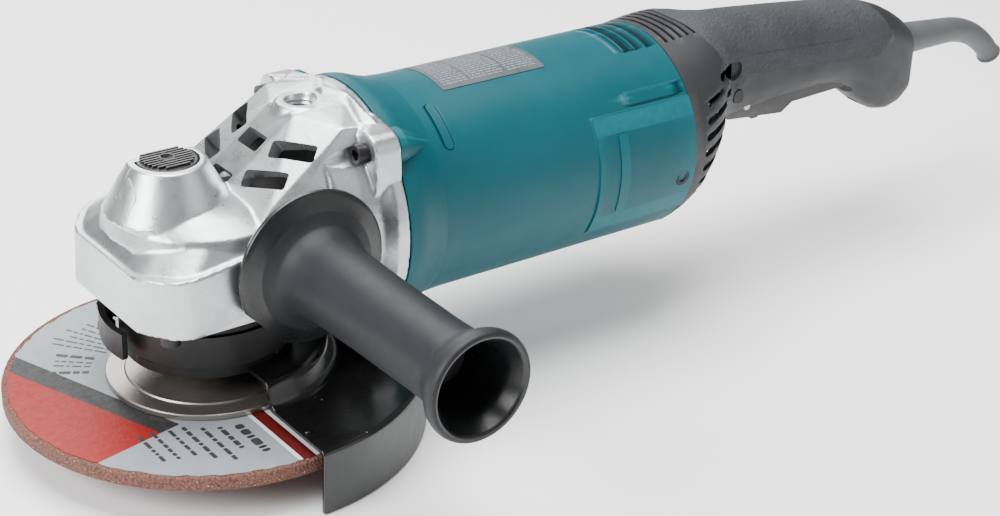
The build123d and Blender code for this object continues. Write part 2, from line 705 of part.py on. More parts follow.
def motor_leads():
    """Two insulated leads from the switch to the motor's brush gear."""
    leads = []
    for side in (-1, 1):
        y = 13.0 * side
        path = FilletPolyline((329.8, y, 98), (290, y, 98), (240, y, 106), (226, y, 112), radius=30)
        start = Plane(origin=path @ 0, z_dir=path % 0)
        leads.append(sweep(start * Circle(1.3), path))
    return leads


# ---- Cord guard: a tapered sleeve that droops behind the handle
def cord_guard():
    straight, bend_r, bend = 38.0, 56.0, 47.0
    x0 = 426.0
    tube = rod_x(7.1, x0 - 8, x0 + 3, z=CORD_Z)
    collar = rod_x(9.6, x0 - 6.5, x0 - 3.2, z=CORD_Z)
    faces = []
    for share in (0.0, 0.5, 1.0):
        faces.append((x0 + 2.5 + share * straight, CORD_Z - 2.0 * share, 3.4, 9.0 - 1.9 * share))
    turn_x, turn_z = faces[-1][0], faces[-1][1]
    for step in (1, 2, 3, 4):
        angle = 3.4 + bend * step / 4
        x = turn_x + bend_r * (sin(radians(angle)) - sin(radians(3.4)))
        z = turn_z - bend_r * (cos(radians(3.4)) - cos(radians(angle)))
        faces.append((x, z, angle, 7.1 - 0.22 * step))
    sections = []
    for x, z, angle, radius in faces:
        forward = (cos(radians(angle)), 0, -sin(radians(angle)))
        sections.append(Plane(origin=(x, 0, z), x_dir=(0, 1, 0), z_dir=forward) * Circle(radius))
    sleeve = loft(sections)
    x, z, angle, radius = faces[-1]
    mouth = Pos(x, 0, z) * Rot(0, 90 + angle, 0)
    lip = mouth * Pos(0, 0, 0.9) * Cylinder(radius + 0.5, 2.2)
    bore = mouth * Pos(0, 0, -4) * Cylinder(4.2, 16)
    return sleeve + tube + collar + lip - bore


def cord_clamp():
    bar = block((405, 414), (-11.5, 11.5), (CORD_Z - 13, CORD_Z - 9))
    screws = [rod_z(2.0, CORD_Z - 16, CORD_Z - 7, x=409.5, y=side * 9) for side in (-1, 1)]
    return joined([bar] + screws)


# ---- Side handle
def side_handle():
    flange, end = -GRIP_FLANGE_Y, -GRIP_END_Y
    grip = [(end, 22.8), (end - 3, 23.8), (end - 7, 22.8), (end - 13, 18.5), (end - 22, 16.8)]
    root = [(92.0, 17.2), (70.0, 18.2), (62.0, 20.0), (flange + 5, 27.0), (flange + 3.5, 34.0)]
    rim = [(flange + 2, 35.2), (flange, 34.6), (flange, 12.0)]
    bolt_room = [(end - 30, 12.0), (end - 26, 14.0), (end - 10, 15.5), (end - 2, 20.5)]
    outline = Plane.XZ * Polygon(*[(r, y) for y, r in grip + root + rim + bolt_room], align=None)
    solid = revolve(outline, Axis.Z)
    insert = Cylinder(12.3, end - 30 - flange) - Cylinder(6.0, 200)
    insert = Pos(0, 0, (flange + end - 30) / 2) * insert
    handle = Pos(SIDE_X, 0, AXIS_Z) * Rot(90, 0, 0) * (solid + insert)
    return handle - Pos(SIDE_X, 0, AXIS_Z) * Rot(0, -45, 0) * block((-60, -32.0), (-56, -40), (-60, 60))


def side_handle_bolt():
    stud = rod_y(5.95, GRIP_END_Y + 29, -32, SIDE_X, AXIS_Z)
    head = rod_y(9.5, GRIP_END_Y + 21, GRIP_END_Y + 30, SIDE_X, AXIS_Z)
    return stud + head


def build():
    outer, inner, balls = ball_bearing(BEARING_R, SPINDLE_R, BEARING_HIGH - BEARING_LOW)
    seat = Pos(0, 0, (BEARING_LOW + BEARING_HIGH) / 2)
    save("spindle_bearing_outer", seat * outer)
    save("spindle_bearing_inner", seat * inner)
    save("spindle_bearing_balls", *[seat * ball for ball in balls])

    outers, inners, rollers = [], [], []
    for x, outer_r, bore_r, width in ((51.0, 16.0, SHAFT_R, 10.0), (225.6, 11.0, 4.0, 7.0)):
        outer, inner, balls = ball_bearing(outer_r, bore_r, width)
        seat = Pos(x, 0, AXIS_Z) * Rot(0, 90, 0)
        outers.append(seat * outer)
        inners.append(seat * inner)
        rollers += [seat * ball for ball in balls]
    save("armature_bearing_outers", *outers)
    save("armature_bearing_inners", *inners)
    save("armature_bearing_balls", *rollers)

    save("spindle", spindle())
    save("drive_gear", drive_gear())
    save("gear_circlip", gear_circlip())
    save("inner_flange", inner_flange())
    save("lock_nut", lock_nut())
    save("grinding_wheel", grinding_wheel())
    save("wheel_bush", wheel_bush())
    save("wheel_label", wheel_label())

    save("gear_housing", gear_housing())
    save("bearing_box", bearing_box())
    save("bearing_retainer", bearing_retainer())
    save("needle_bearing", needle_bearing())
    box_screw = Pos(0, 0, HOUSING_LOW + 0.5) * cap_screw(4.3, 5.5, 2.45, 13)
    save("bearing_box_screws", *screw_places(box_screw))
    long_screw = Pos(57, 0, AXIS_Z) * Rot(0, 90, 0) * cap_screw(4.4, 5.2, 2.45, 22)
    save("gear_housing_screws", *ear_places(long_screw))
    save("lock_button", lock_button())
    save("lock_pin", lock_pin())
    save("lock_spring", lock_spring())

    save("wheel_guard", wheel_guard())
    save("guard_clamp_band", guard_clamp_band())
    save("guard_clamp_screw", guard_clamp_screw())
    save("guard_lever", guard_lever())

    save("motor_housing", motor_housing())
    save("baffle_plate", baffle_plate())
    save("stator_core", stator_core())
    save("stator_coils", *stator_coils())
    save("armature_shaft", armature_shaft())
    save("pinion", pinion())
    save("armature_core", armature_core())
    save("armature_windings", *armature_windings())
    save("commutator", commutator())
    save("cooling_fan", cooling_fan())
    save("brush_holders", *brush_holders())
    save("carbon_brushes", *carbon_brushes())
    save("brush_springs", *brush_springs())
    save("brush_cover_left", brush_cover(-1))
    save("brush_cover_right", brush_cover(1))
    save("brush_cover_screws", *brush_cover_screws())
    save("rating_label", rating_label())

    save("tail_cover", tail_cover())
    save("handle_upper", handle_upper())
    save("grip_overmould", grip_overmould())
    save("handle_lower", handle_lower())
    save("handle_screws", *handle_screws())
    save("trigger_pin", trigger_pin())
    save("trigger_lever", trigger_lever())
    save("trigger_spring", trigger_spring())
    save("lock_lever", lock_lever())
    save("switch_unit", switch_unit())
    save("switch_plunger", switch_plunger())
    save("motor_leads", *motor_leads())
    save("cord_guard", cord_guard())
    save("cord_clamp", cord_clamp())

    save("side_handle", side_handle())
    save("side_handle_bolt", side_handle_bolt())


os.makedirs("parts", exist_ok=True)
build()
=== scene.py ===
import json
import math
import random

import bmesh
import bpy
from mathutils import Matrix, Vector
from mathutils.bvhtree import BVHTree


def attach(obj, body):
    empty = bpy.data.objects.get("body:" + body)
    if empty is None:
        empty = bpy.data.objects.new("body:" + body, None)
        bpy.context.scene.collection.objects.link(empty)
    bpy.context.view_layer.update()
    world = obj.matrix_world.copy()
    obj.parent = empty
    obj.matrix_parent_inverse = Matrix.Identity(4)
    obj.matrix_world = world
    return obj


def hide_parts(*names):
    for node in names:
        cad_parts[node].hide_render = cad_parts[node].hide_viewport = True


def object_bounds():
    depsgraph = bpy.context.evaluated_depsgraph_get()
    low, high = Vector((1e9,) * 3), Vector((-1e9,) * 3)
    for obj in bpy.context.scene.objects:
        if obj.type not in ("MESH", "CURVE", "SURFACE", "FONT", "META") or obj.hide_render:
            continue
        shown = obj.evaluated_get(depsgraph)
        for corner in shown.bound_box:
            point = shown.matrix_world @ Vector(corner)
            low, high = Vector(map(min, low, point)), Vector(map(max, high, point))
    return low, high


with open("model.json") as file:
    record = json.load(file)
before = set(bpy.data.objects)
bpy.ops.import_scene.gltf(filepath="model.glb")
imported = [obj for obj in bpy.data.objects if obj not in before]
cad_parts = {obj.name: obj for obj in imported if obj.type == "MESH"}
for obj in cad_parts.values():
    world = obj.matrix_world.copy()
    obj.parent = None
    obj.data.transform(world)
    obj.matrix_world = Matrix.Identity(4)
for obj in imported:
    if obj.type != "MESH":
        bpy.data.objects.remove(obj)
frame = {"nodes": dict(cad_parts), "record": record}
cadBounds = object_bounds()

# lengths in this script are millimetres until a piece is finished
motorAxis = 73.5      # height of the motor's axis
barrelRadius = 50.6


# ---- shaping tools

def turn(degrees, axis):
    return Matrix.Rotation(math.radians(degrees), 4, axis)


def move(x=0.0, y=0.0, z=0.0):
    return Matrix.Translation((x, y, z))


def together(*shapes):
    whole = bmesh.new()
    for shape in shapes:
        mesh = bpy.data.meshes.new("part")
        shape.to_mesh(mesh)
        shape.free()
        whole.from_mesh(mesh)
        bpy.data.meshes.remove(mesh)
    return whole


def moved(shape, matrix):
    shape.transform(matrix)
    if matrix.determinant() < 0:
        bmesh.ops.reverse_faces(shape, faces=list(shape.faces))
    return shape


def bothSides(shape):
    # the shape and its mirror image across the middle plane
    return together(shape.copy(), moved(shape, Matrix.Scale(-1, 4, (0, 1, 0))))


def outline(points):
    # corners (x, z); a third number rounds that corner
    shape = bmesh.new()
    verts = [shape.verts.new((p[0], 0, p[1])) for p in points]
    shape.faces.new(verts)
    for vert, point in zip(verts, points):
        if len(point) > 2:
            bmesh.ops.bevel(shape, geom=[vert], offset=point[2], offset_type="OFFSET", segments=4,
                            profile=0.5, affect="VERTICES", material=-1)
    return shape


def turned(points, axis="z", centre=(0, 0, 0), angle=360, start=0, steps=96):
    # an outline of (radius, height) spun about an axis: z up, x to the rear, y out to the side handle
    shape = outline(points)
    if angle == 360:
        bmesh.ops.delete(shape, geom=list(shape.faces), context="FACES_ONLY")
        onAxis = [e for e in shape.edges if max(abs(v.co.x) for v in e.verts) < 1e-6]
        bmesh.ops.delete(shape, geom=onAxis, context="EDGES")
    geom = list(shape.verts) + list(shape.edges) + list(shape.faces)
    bmesh.ops.spin(shape, geom=geom, cent=(0, 0, 0), axis=(0, 0, 1), dvec=(0, 0, 0),
                   angle=math.radians(angle), steps=steps, use_merge=angle == 360)
    bmesh.ops.remove_doubles(shape, verts=list(shape.verts), dist=1e-4)
    bmesh.ops.recalc_face_normals(shape, faces=list(shape.faces))
    standing = {"z": Matrix.Identity(4), "x": turn(90, "Y"), "y": turn(90, "X")}[axis]
    return moved(shape, Matrix.Translation(centre) @ standing @ turn(start, "Z"))


def plate(width, depth, corner, matrix, segments=5):
    # a flat rounded rectangle, one face
    shape = bmesh.new()
    made = bmesh.ops.create_grid(shape, x_segments=1, y_segments=1, size=0.5)
    bmesh.ops.scale(shape, vec=(width, depth, 1), verts=made["verts"])
    if corner:
        bmesh.ops.bevel(shape, geom=list(shape.verts), offset=corner, offset_type="OFFSET",
                        segments=segments, profile=0.5, affect="VERTICES", material=-1)
    shape.transform(matrix)
    return shape


def sliced(shape, place, normal, clear=False, near=1e-4):
    # cut across by a plane; clear throws away the side that the normal points to
    geom = list(shape.verts) + list(shape.edges) + list(shape.faces)
    bmesh.ops.bisect_plane(shape, geom=geom, dist=near, plane_co=place, plane_no=normal, clear_outer=clear)
    return shape


def disc(radius, matrix, segments=48):
    shape = bmesh.new()
    bmesh.ops.create_circle(shape, cap_ends=True, segments=segments, radius=radius)
    shape.transform(matrix)
    return shape


def pulled(shape, vector):
    # a flat face given a thickness
    faces = list(shape.faces)
    grown = bmesh.ops.extrude_face_region(shape, geom=faces, use_keep_orig=True)
    verts = [g for g in grown["geom"] if isinstance(g, bmesh.types.BMVert)]
    bmesh.ops.translate(shape, vec=vector, verts=verts)
    bmesh.ops.recalc_face_normals(shape, faces=list(shape.faces))
    return shape


def corners(points, mirrored=False):
    shape = bmesh.new()
    for x, y, z in points:
        shape.verts.new((x, y, z))
        if mirrored:
            shape.verts.new((x, -y, z))
    return shape


def hullOf(*shapes):
    # the solid that wraps round several shapes
    shape = together(*shapes)
    bmesh.ops.delete(shape, geom=list(shape.faces), context="FACES_ONLY")
    bmesh.ops.delete(shape, geom=list(shape.edges), context="EDGES_FACES")
    found = bmesh.ops.convex_hull(shape, input=list(shape.verts), use_existing_faces=False)
    inner = {g for key in ("geom_interior", "geom_unused") for g in found[key]
             if isinstance(g, bmesh.types.BMVert) and g.is_valid}
    bmesh.ops.delete(shape, geom=list(inner), context="VERTS")
    bmesh.ops.recalc_face_normals(shape, faces=list(shape.faces))
    return shape


def lofted(sections, inset=0.0, segments=8):
    # rings across the tool, each (x, width, low, high, corner), joined into one solid
    shape = bmesh.new()
    loops = []
    last = len(sections) - 1
    for i, (x, width, low, high, corner) in enumerate(sections):
        if inset and i == 0:
            x -= 1
        if inset and i == last:
            x -= inset
        known = set(shape.faces)
        made = bmesh.ops.create_grid(shape, x_segments=1, y_segments=1, size=0.5)
        across = Matrix(((0, 0, 1, x), (1, 0, 0, 0), (0, 1, 0, (low + high) / 2), (0, 0, 0, 1)))
        size = (width - 2 * inset, high - low - 2 * inset, 1)
        bmesh.ops.scale(shape, vec=size, verts=made["verts"])
        bmesh.ops.bevel(shape, geom=made["verts"], offset=min(corner - inset, min(size[:2]) / 2.02),
                        offset_type="OFFSET", segments=segments, profile=0.5, affect="VERTICES",
                        material=-1)
        face = [f for f in shape.faces if f not in known][0]
        bmesh.ops.transform(shape, matrix=across, verts=list(face.verts))
        loops.append(list(face.edges))
        if 0 < i < last:
            bmesh.ops.delete(shape, geom=[face], context="FACES_ONLY")
    for one, two in zip(loops, loops[1:]):
        bmesh.ops.bridge_loops(shape, edges=one + two)
    bmesh.ops.recalc_face_normals(shape, faces=list(shape.faces))
    return shape


def onBarrel(shape, radius=barrelRadius):
    # wraps a flat shape on the motor's barrel: x along it, y round it from the top
    # towards the side handle, z outwards
    for vert in shape.verts:
        x, along, out = vert.co
        angle = along / radius
        vert.co = (x, -(radius + out) * math.sin(angle), motorAxis + (radius + out) * math.cos(angle))
    bmesh.ops.recalc_face_normals(shape, faces=list(shape.faces))
    return shape


def patch(x, angles, low, high, radius=barrelRadius, corner=1.5, pieces=24):
    # a rounded slab lying on the barrel, between two x, two angles and two heights
    start, end = (math.radians(a) * radius for a in angles)
    flat = plate(x[1] - x[0], end - start, corner, move((x[0] + x[1]) / 2, (start + end) / 2, low))
    solid = pulled(flat, (0, 0, high - low))
    for i in range(1, pieces):
        cut = start + (end - start) * i / pieces
        sliced(solid, (0, cut, 0), (0, 1, 0), near=1e-5)
    return onBarrel(solid, radius)


def made(name, shape):
    # the piece in metres, in the scene
    bmesh.ops.scale(shape, vec=(0.001, 0.001, 0.001), verts=list(shape.verts))
    mesh = bpy.data.meshes.new(name)
    shape.to_mesh(mesh)
    shape.free()
    obj = bpy.data.objects.new(name, mesh)
    bpy.context.scene.collection.objects.link(obj)
    return obj


def shapeOf(obj):
    # the piece's mesh again, in millimetres
    shape = bmesh.new()
    shape.from_mesh(obj.data)
    bmesh.ops.scale(shape, vec=(1000, 1000, 1000), verts=list(shape.verts))
    return shape


def settle(obj):
    # the modifiers become the mesh
    bpy.context.view_layer.update()
    mesh = bpy.data.meshes.new_from_object(obj.evaluated_get(bpy.context.evaluated_depsgraph_get()))
    obj.modifiers.clear()
    obj.data = mesh
    return obj


def cut(obj, shape, operation="DIFFERENCE", overlapping=False):
    tool = made("tool", shape)
    for material in obj.data.materials:
        tool.data.materials.append(material)
    step = obj.modifiers.new("cut", "BOOLEAN")
    step.object = tool
    step.operation = operation
    step.solver = "EXACT"
    step.use_self = overlapping
    settle(obj)
    bpy.data.objects.remove(tool)
    return obj


def cast(obj, voxel, passes):
    # one skin over overlapping solids, with the inside corners filled as in a casting
    step = obj.modifiers.new("skin", "REMESH")
    step.mode = "VOXEL"
    step.voxel_size = voxel
    step.adaptivity = 0.0
    if passes:
        soft = obj.modifiers.new("soft", "SMOOTH")
        soft.factor = 0.5
        soft.iterations = passes
    return settle(obj)


def rounded(obj, width, angle=40, segments=3):
    step = obj.modifiers.new("edges", "BEVEL")
    step.width = width
    step.segments = segments
    step.limit_method = "ANGLE"
    step.angle_limit = math.radians(angle)
    return settle(obj)


def done(obj, body, slot, material, *nodes, angle=35):
    mesh = obj.data
    if not mesh.materials:
        for one in material if isinstance(material, list) else [material]:
            mesh.materials.append(one)
    mesh.shade_smooth()
    mesh.set_sharp_from_angle(angle=math.radians(angle))
    even = obj.modifiers.new("evenNormals", "WEIGHTED_NORMAL")
    even.keep_sharp = True
    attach(obj, body)
    if nodes:
        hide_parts(*nodes)
    return obj


def softCopy(name, node, width, body, slot, material, angle=40):
    # a CAD node's shape with its edges broken
    shape = shapeOf(frame["nodes"][node])
    bmesh.ops.remove_doubles(shape, verts=list(shape.verts), dist=1e-3)
    bmesh.ops.dissolve_limit(shape, angle_limit=math.radians(0.5), verts=list(shape.verts),
                             edges=list(shape.edges))
    obj = rounded(made(name, shape), width * 0.001, angle, 2)
    return done(obj, body, slot, material, node)


# ---- material tools

def startMaterial(name):
    material = bpy.data.materials.new(name)
    material.use_nodes = True
    tree = material.node_tree
    place = tree.nodes.new("ShaderNodeTexCoord").outputs["Object"]
    return material, tree, tree.nodes["Principled BSDF"], place


def wire(tree, kind, inputs, **settings):
    node = tree.nodes.new(kind)
    for key, value in settings.items():
        setattr(node, key, value)
    for key, value in inputs.items():
        if isinstance(value, bpy.types.NodeSocket):
            tree.links.new(value, node.inputs[key])
        else:
            node.inputs[key].default_value = value
    return node


def grain(tree, place, scale, detail=3, rough=0.55, stretch=None):
    if stretch:
        place = wire(tree, "ShaderNodeMapping", {"Vector": place, "Scale": stretch}).outputs[0]
    return wire(tree, "ShaderNodeTexNoise",
                {"Vector": place, "Scale": scale, "Detail": detail, "Roughness": rough}).outputs[0]


def between(tree, value, fromLow, fromHigh, low, high):
    return wire(tree, "ShaderNodeMapRange", {"Value": value, "From Min": fromLow, "From Max": fromHigh,
                                             "To Min": low, "To Max": high}).outputs[0]


def mixed(tree, share, one, two):
    node = tree.nodes.new("ShaderNodeMix")
    node.data_type = "RGBA"
    for socket, value in ((node.inputs[0], share), (node.inputs[6], one), (node.inputs[7], two)):
        if isinstance(value, bpy.types.NodeSocket):
            tree.links.new(value, socket)
        elif isinstance(value, (int, float)):
            socket.default_value = value
        else:
            socket.default_value = (*value, 1)
    return node.outputs[2]


def raised(tree, height, strength, distance, below=None):
    inputs = {"Height": height, "Strength": strength, "Distance": distance}
    if below:
        inputs["Normal"] = below
    return wire(tree, "ShaderNodeBump", inputs).outputs[0]


def finishOf(name, dark, light, patchScale=25, rough=(0.4, 0.6), grains=((1500, 0.25, 0.0003),), metal=0.0,
             edgeTint=None, specks=None, coat=0.0, specular=0.5, anisotropy=0.0, stretch=None):
    # the common recipe: cloudy colour, cloudy roughness, fine grain, a lighter colour on sharp convex edges
    # and specks
    material, tree, shader, place = startMaterial(name)
    cloud = grain(tree, place, patchScale, 4, 0.6, stretch)
    colour = mixed(tree, between(tree, cloud, 0.35, 0.65, 0, 1), dark, light)
    if specks:
        tint, scale, limit = specks
        dots = wire(tree, "ShaderNodeTexVoronoi", {"Vector": place, "Scale": scale}).outputs["Distance"]
        colour = mixed(tree, between(tree, dots, limit, limit * 0.6, 0, 1), colour, tint)
    # a lighter colour where the mesh's pointiness marks sharp convex edges, broken up by noise
    if edgeTint:
        tint, low, high = edgeTint
        edge = tree.nodes.new("ShaderNodeNewGeometry").outputs["Pointiness"]
        broken = grain(tree, place, 260, 5, 0.7)
        edge = wire(tree, "ShaderNodeMath", {0: between(tree, edge, low, high, 0, 1), 1: broken},
                    operation="MULTIPLY", use_clamp=True).outputs[0]
        colour = mixed(tree, edge, colour, tint)
    tree.links.new(colour, shader.inputs["Base Color"])
    fine = grain(tree, place, patchScale * 7, 5, 0.65, stretch)
    tree.links.new(between(tree, fine, 0.3, 0.7, *rough), shader.inputs["Roughness"])
    normal = None
    for scale, strength, distance in grains:
        normal = raised(tree, grain(tree, place, scale, 3, 0.6, stretch), strength, distance, normal)
    if normal:
        tree.links.new(normal, shader.inputs["Normal"])
    shader.inputs["Metallic"].default_value = metal
    shader.inputs["Coat Weight"].default_value = coat
    shader.inputs["Specular IOR Level"].default_value = specular
    shader.inputs["Anisotropic"].default_value = anisotropy
    return material


finishes = {
    "castAluminium": finishOf("castAluminium", (0.42, 0.44, 0.45), (0.56, 0.58, 0.59), 18, (0.24, 0.36),
                              ((2600, 0.22, 0.00025), (420, 0.10, 0.0006)), metal=0.92,
                              edgeTint=((0.90, 0.92, 0.93), 0.52, 0.60),
                              specks=((0.18, 0.18, 0.18), 190, 0.05)),
    "tealNylon": finishOf("tealNylon", (0.0, 0.060, 0.076), (0.0, 0.072, 0.091), 12, (0.36, 0.48),
                          ((2200, 0.20, 0.0003), (300, 0.05, 0.0008)),
                          edgeTint=((0.004, 0.14, 0.17), 0.53, 0.62), specular=0.22),
    "darkNylon": finishOf("darkNylon", (0.013, 0.014, 0.016), (0.019, 0.020, 0.023), 16, (0.46, 0.60),
                          ((2000, 0.25, 0.0003),), edgeTint=((0.06, 0.062, 0.066), 0.53, 0.63), specular=0.35),
    "softRubber": finishOf("softRubber", (0.026, 0.029, 0.032), (0.038, 0.042, 0.046), 30, (0.66, 0.82),
                           ((420, 0.9, 0.0013), (1300, 0.6, 0.0005)), specular=0.35),
    "sideHandleNylon": finishOf("sideHandleNylon", (0.0065, 0.0075, 0.009), (0.010, 0.0115, 0.0135), 18,
                                (0.44, 0.58),
                                ((1800, 0.22, 0.0003), (240, 0.06, 0.0008)),
                                edgeTint=((0.05, 0.055, 0.06), 0.53, 0.62), specular=0.28),
    "glossBlack": finishOf("glossBlack", (0.0025, 0.0025, 0.0025), (0.005, 0.005, 0.005), 14, (0.16, 0.28),
                           ((160, 0.12, 0.0008),), specks=((0.16, 0.16, 0.16), 60, 0.03)),
    "satinBlack": finishOf("satinBlack", (0.004, 0.004, 0.004), (0.009, 0.0085, 0.0085), 22, (0.32, 0.46),
                           ((1400, 0.2, 0.0003),), edgeTint=((0.30, 0.30, 0.30), 0.56, 0.68), specular=0.3),
    # painted reflection: the guard's gloss black paint made rougher and lighter for the skirt, its grey
    # standing for the bright surroundings it reflects
    "guardSkirtPaintedReflection": finishOf("guardSkirtPaintedReflection", (0.018, 0.019, 0.020), (0.027, 0.028, 0.030), 14, (0.34, 0.46),
                           ((900, 0.12, 0.0003),), specks=((0.22, 0.22, 0.22), 70, 0.035)),
    "blackOxide": finishOf("blackOxide", (0.010, 0.010, 0.011), (0.024, 0.024, 0.026), 60, (0.28, 0.42),
                           ((2400, 0.2, 0.0002),), metal=0.6, edgeTint=((0.35, 0.35, 0.36), 0.55, 0.66)),
    "turnedSteel": finishOf("turnedSteel", (0.34, 0.32, 0.29), (0.46, 0.43, 0.39), 20, (0.28, 0.42),
                            ((900, 0.18, 0.0003),), metal=0.9, stretch=(1, 1, 14)),
    "groundSteel": finishOf("groundSteel", (0.50, 0.50, 0.50), (0.62, 0.62, 0.62), 40, (0.16, 0.26),
                            ((1600, 0.12, 0.0002),), metal=1.0),
    "gearSteel": finishOf("gearSteel", (0.26, 0.25, 0.23), (0.38, 0.36, 0.34), 60, (0.24, 0.40),
                          ((1500, 0.2, 0.0002),), metal=0.95),
    "zincPlate": finishOf("zincPlate", (0.55, 0.56, 0.54), (0.68, 0.68, 0.64), 80, (0.24, 0.36),
                          ((1800, 0.15, 0.0002),), metal=0.9),
    "laminations": finishOf("laminations", (0.10, 0.10, 0.105), (0.18, 0.18, 0.18), 30, (0.4, 0.6),
                            ((240, 0.5, 0.0004),), metal=0.7, stretch=(8, 0.2, 0.2)),
    "copperWire": finishOf("copperWire", (0.42, 0.13, 0.05), (0.58, 0.22, 0.09), 60, (0.25, 0.45),
                           ((500, 0.8, 0.0006),), metal=0.8, coat=0.4, stretch=(0.3, 3, 3)),
    "carbonBlock": finishOf("carbonBlock", (0.018, 0.018, 0.019), (0.040, 0.040, 0.042), 300, (0.5, 0.7),
                            ((2600, 0.4, 0.0003),)),
    "springSteel": finishOf("springSteel", (0.38, 0.38, 0.39), (0.50, 0.50, 0.50), 50, (0.24, 0.36),
                            ((520, 0.9, 0.0008),), metal=0.95, stretch=(0.2, 0.2, 4)),
    "fanNylon": finishOf("fanNylon", (0.020, 0.020, 0.021), (0.034, 0.034, 0.036), 30, (0.45, 0.6),
                         ((1500, 0.25, 0.0003),)),
    "buttonNylon": finishOf("buttonNylon", (0.006, 0.006, 0.0065), (0.012, 0.012, 0.013), 40, (0.38, 0.52),
                            ((2000, 0.2, 0.0002),), edgeTint=((0.10, 0.10, 0.10), 0.54, 0.64)),
    "switchNylon": finishOf("switchNylon", (0.014, 0.014, 0.015), (0.024, 0.024, 0.025), 60, (0.4, 0.55),
                            ((1800, 0.2, 0.0002),)),
    "leadRubber": finishOf("leadRubber", (0.40, 0.40, 0.38), (0.50, 0.49, 0.46), 90, (0.4, 0.55),
                           ((900, 0.2, 0.0002),)),
    "cordRubber": finishOf("cordRubber", (0.055, 0.059, 0.062), (0.080, 0.085, 0.088), 35, (0.44, 0.60),
                           ((1500, 0.25, 0.0003), (180, 0.15, 0.0008))),
}


def wheelGrit():
    # bonded abrasive: brick red grains in a darker bond
    material, tree, shader, place = startMaterial("wheelGrit")
    cells = wire(tree, "ShaderNodeTexVoronoi", {"Vector": place, "Scale": 900})
    tone = mixed(tree, grain(tree, place, 700, 4, 0.7), (0.10, 0.034, 0.022), (0.23, 0.095, 0.062))
    tone = mixed(tree, between(tree, cells.outputs["Distance"], 0.35, 0.75, 0, 1), tone,
                 (0.075, 0.030, 0.024))
    sparkle = wire(tree, "ShaderNodeTexVoronoi", {"Vector": place, "Scale": 420}).outputs["Distance"]
    tone = mixed(tree, between(tree, sparkle, 0.16, 0.06, 0, 0.8), tone, (0.55, 0.38, 0.32))
    tree.links.new(tone, shader.inputs["Base Color"])
    shader.inputs["Roughness"].default_value = 0.86
    normal = raised(tree, cells.outputs["Distance"], 0.8, 0.0009)
    tree.links.new(raised(tree, grain(tree, place, 1600, 3, 0.7), 0.6, 0.0006, normal),
                   shader.inputs["Normal"])
    return material


def printedPaper(name, tint, deep):
    # wheel label: coated paper that the grain beneath shows through, with dark specks
    material, tree, shader, place = startMaterial(name)
    colour = mixed(tree, grain(tree, place, 60, 5, 0.7), deep, tint)
    dots = grain(tree, place, 1500, 2, 0.5)
    colour = mixed(tree, between(tree, dots, 0.66, 0.74, 0, 0.75), colour, tuple(c * 0.25 for c in tint))
    tree.links.new(colour, shader.inputs["Base Color"])
    tree.links.new(between(tree, grain(tree, place, 300, 4, 0.6), 0.3, 0.7, 0.42, 0.62),
                   shader.inputs["Roughness"])
    normal = raised(tree, grain(tree, place, 850, 4, 0.7), 0.45, 0.0006)
    tree.links.new(normal, shader.inputs["Normal"])
    shader.inputs["Specular IOR Level"].default_value = 0.3
    return material


def brushedRing():
    # lathe marks that run round the spindle
    material, tree, shader, place = startMaterial("brushedRing")
    parts = wire(tree, "ShaderNodeSeparateXYZ", {"Vector": place})
    flat = wire(tree, "ShaderNodeCombineXYZ", {"X": parts.outputs[0], "Y": parts.outputs[1], "Z": 0.0})
    radius = wire(tree, "ShaderNodeVectorMath", {0: flat.outputs[0]}, operation="LENGTH").outputs["Value"]
    rings = wire(tree, "ShaderNodeTexNoise", {"W": radius, "Scale": 2600.0, "Detail": 3.0},
                 noise_dimensions="1D")
    cloud = grain(tree, place, 35, 4, 0.6)
    colour = mixed(tree, cloud, (0.30, 0.275, 0.245), (0.50, 0.47, 0.43))
    colour = mixed(tree, between(tree, rings.outputs[0], 0.35, 0.65, 0, 0.45), colour, (0.20, 0.185, 0.17))
    tree.links.new(colour, shader.inputs["Base Color"])
    tree.links.new(between(tree, rings.outputs[0], 0.3, 0.7, 0.26, 0.44), shader.inputs["Roughness"])
    tree.links.new(raised(tree, rings.outputs[0], 0.25, 0.0003), shader.inputs["Normal"])
    shader.inputs["Metallic"].default_value = 0.9
    return material


# painted shade: a near-black copy of the casting for the air room's inner walls, standing for the shade
# deep inside the vents
finishes["casePaintedShade"] = finishOf("casePaintedShade", (0.010, 0.010, 0.010), (0.020, 0.020, 0.019), 60, (0.5, 0.7))
# painted shade: a darker, glossier copy of the side handle's plastic for the flange and the inside of the
# hollow end, where shade falls
finishes["sideHandlePaintedShade"] = finishOf("sideHandlePaintedShade", (0.004, 0.0045, 0.005), (0.007, 0.0075, 0.0085), 14,
                                   (0.24, 0.38),
                                   ((1500, 0.15, 0.0003), (200, 0.06, 0.0008)), specular=0.45)
finishes["wheelGrit"] = wheelGrit()
finishes["brushedRing"] = brushedRing()
finishes["greyPaper"] = printedPaper("greyPaper", (0.27, 0.295, 0.31), (0.19, 0.21, 0.225))
finishes["redPaper"] = printedPaper("redPaper", (0.24, 0.004, 0.0015), (0.19, 0.003, 0.001))
finishes["darkPaper"] = printedPaper("darkPaper", (0.022, 0.022, 0.023), (0.014, 0.014, 0.015))
finishes["maroonPaper"] = printedPaper("maroonPaper", (0.110, 0.006, 0.005), (0.070, 0.004, 0.004))
finishes["whitePaper"] = printedPaper("whitePaper", (0.72, 0.74, 0.75), (0.60, 0.62, 0.63))
finishes["inkPaper"] = printedPaper("inkPaper", (0.035, 0.037, 0.040), (0.020, 0.021, 0.022))
finishes["labelGrey"] = finishOf("labelGrey", (0.045, 0.055, 0.064), (0.062, 0.072, 0.082), 40,
                                 (0.34, 0.46),
                                 ((1500, 0.1, 0.0002),))
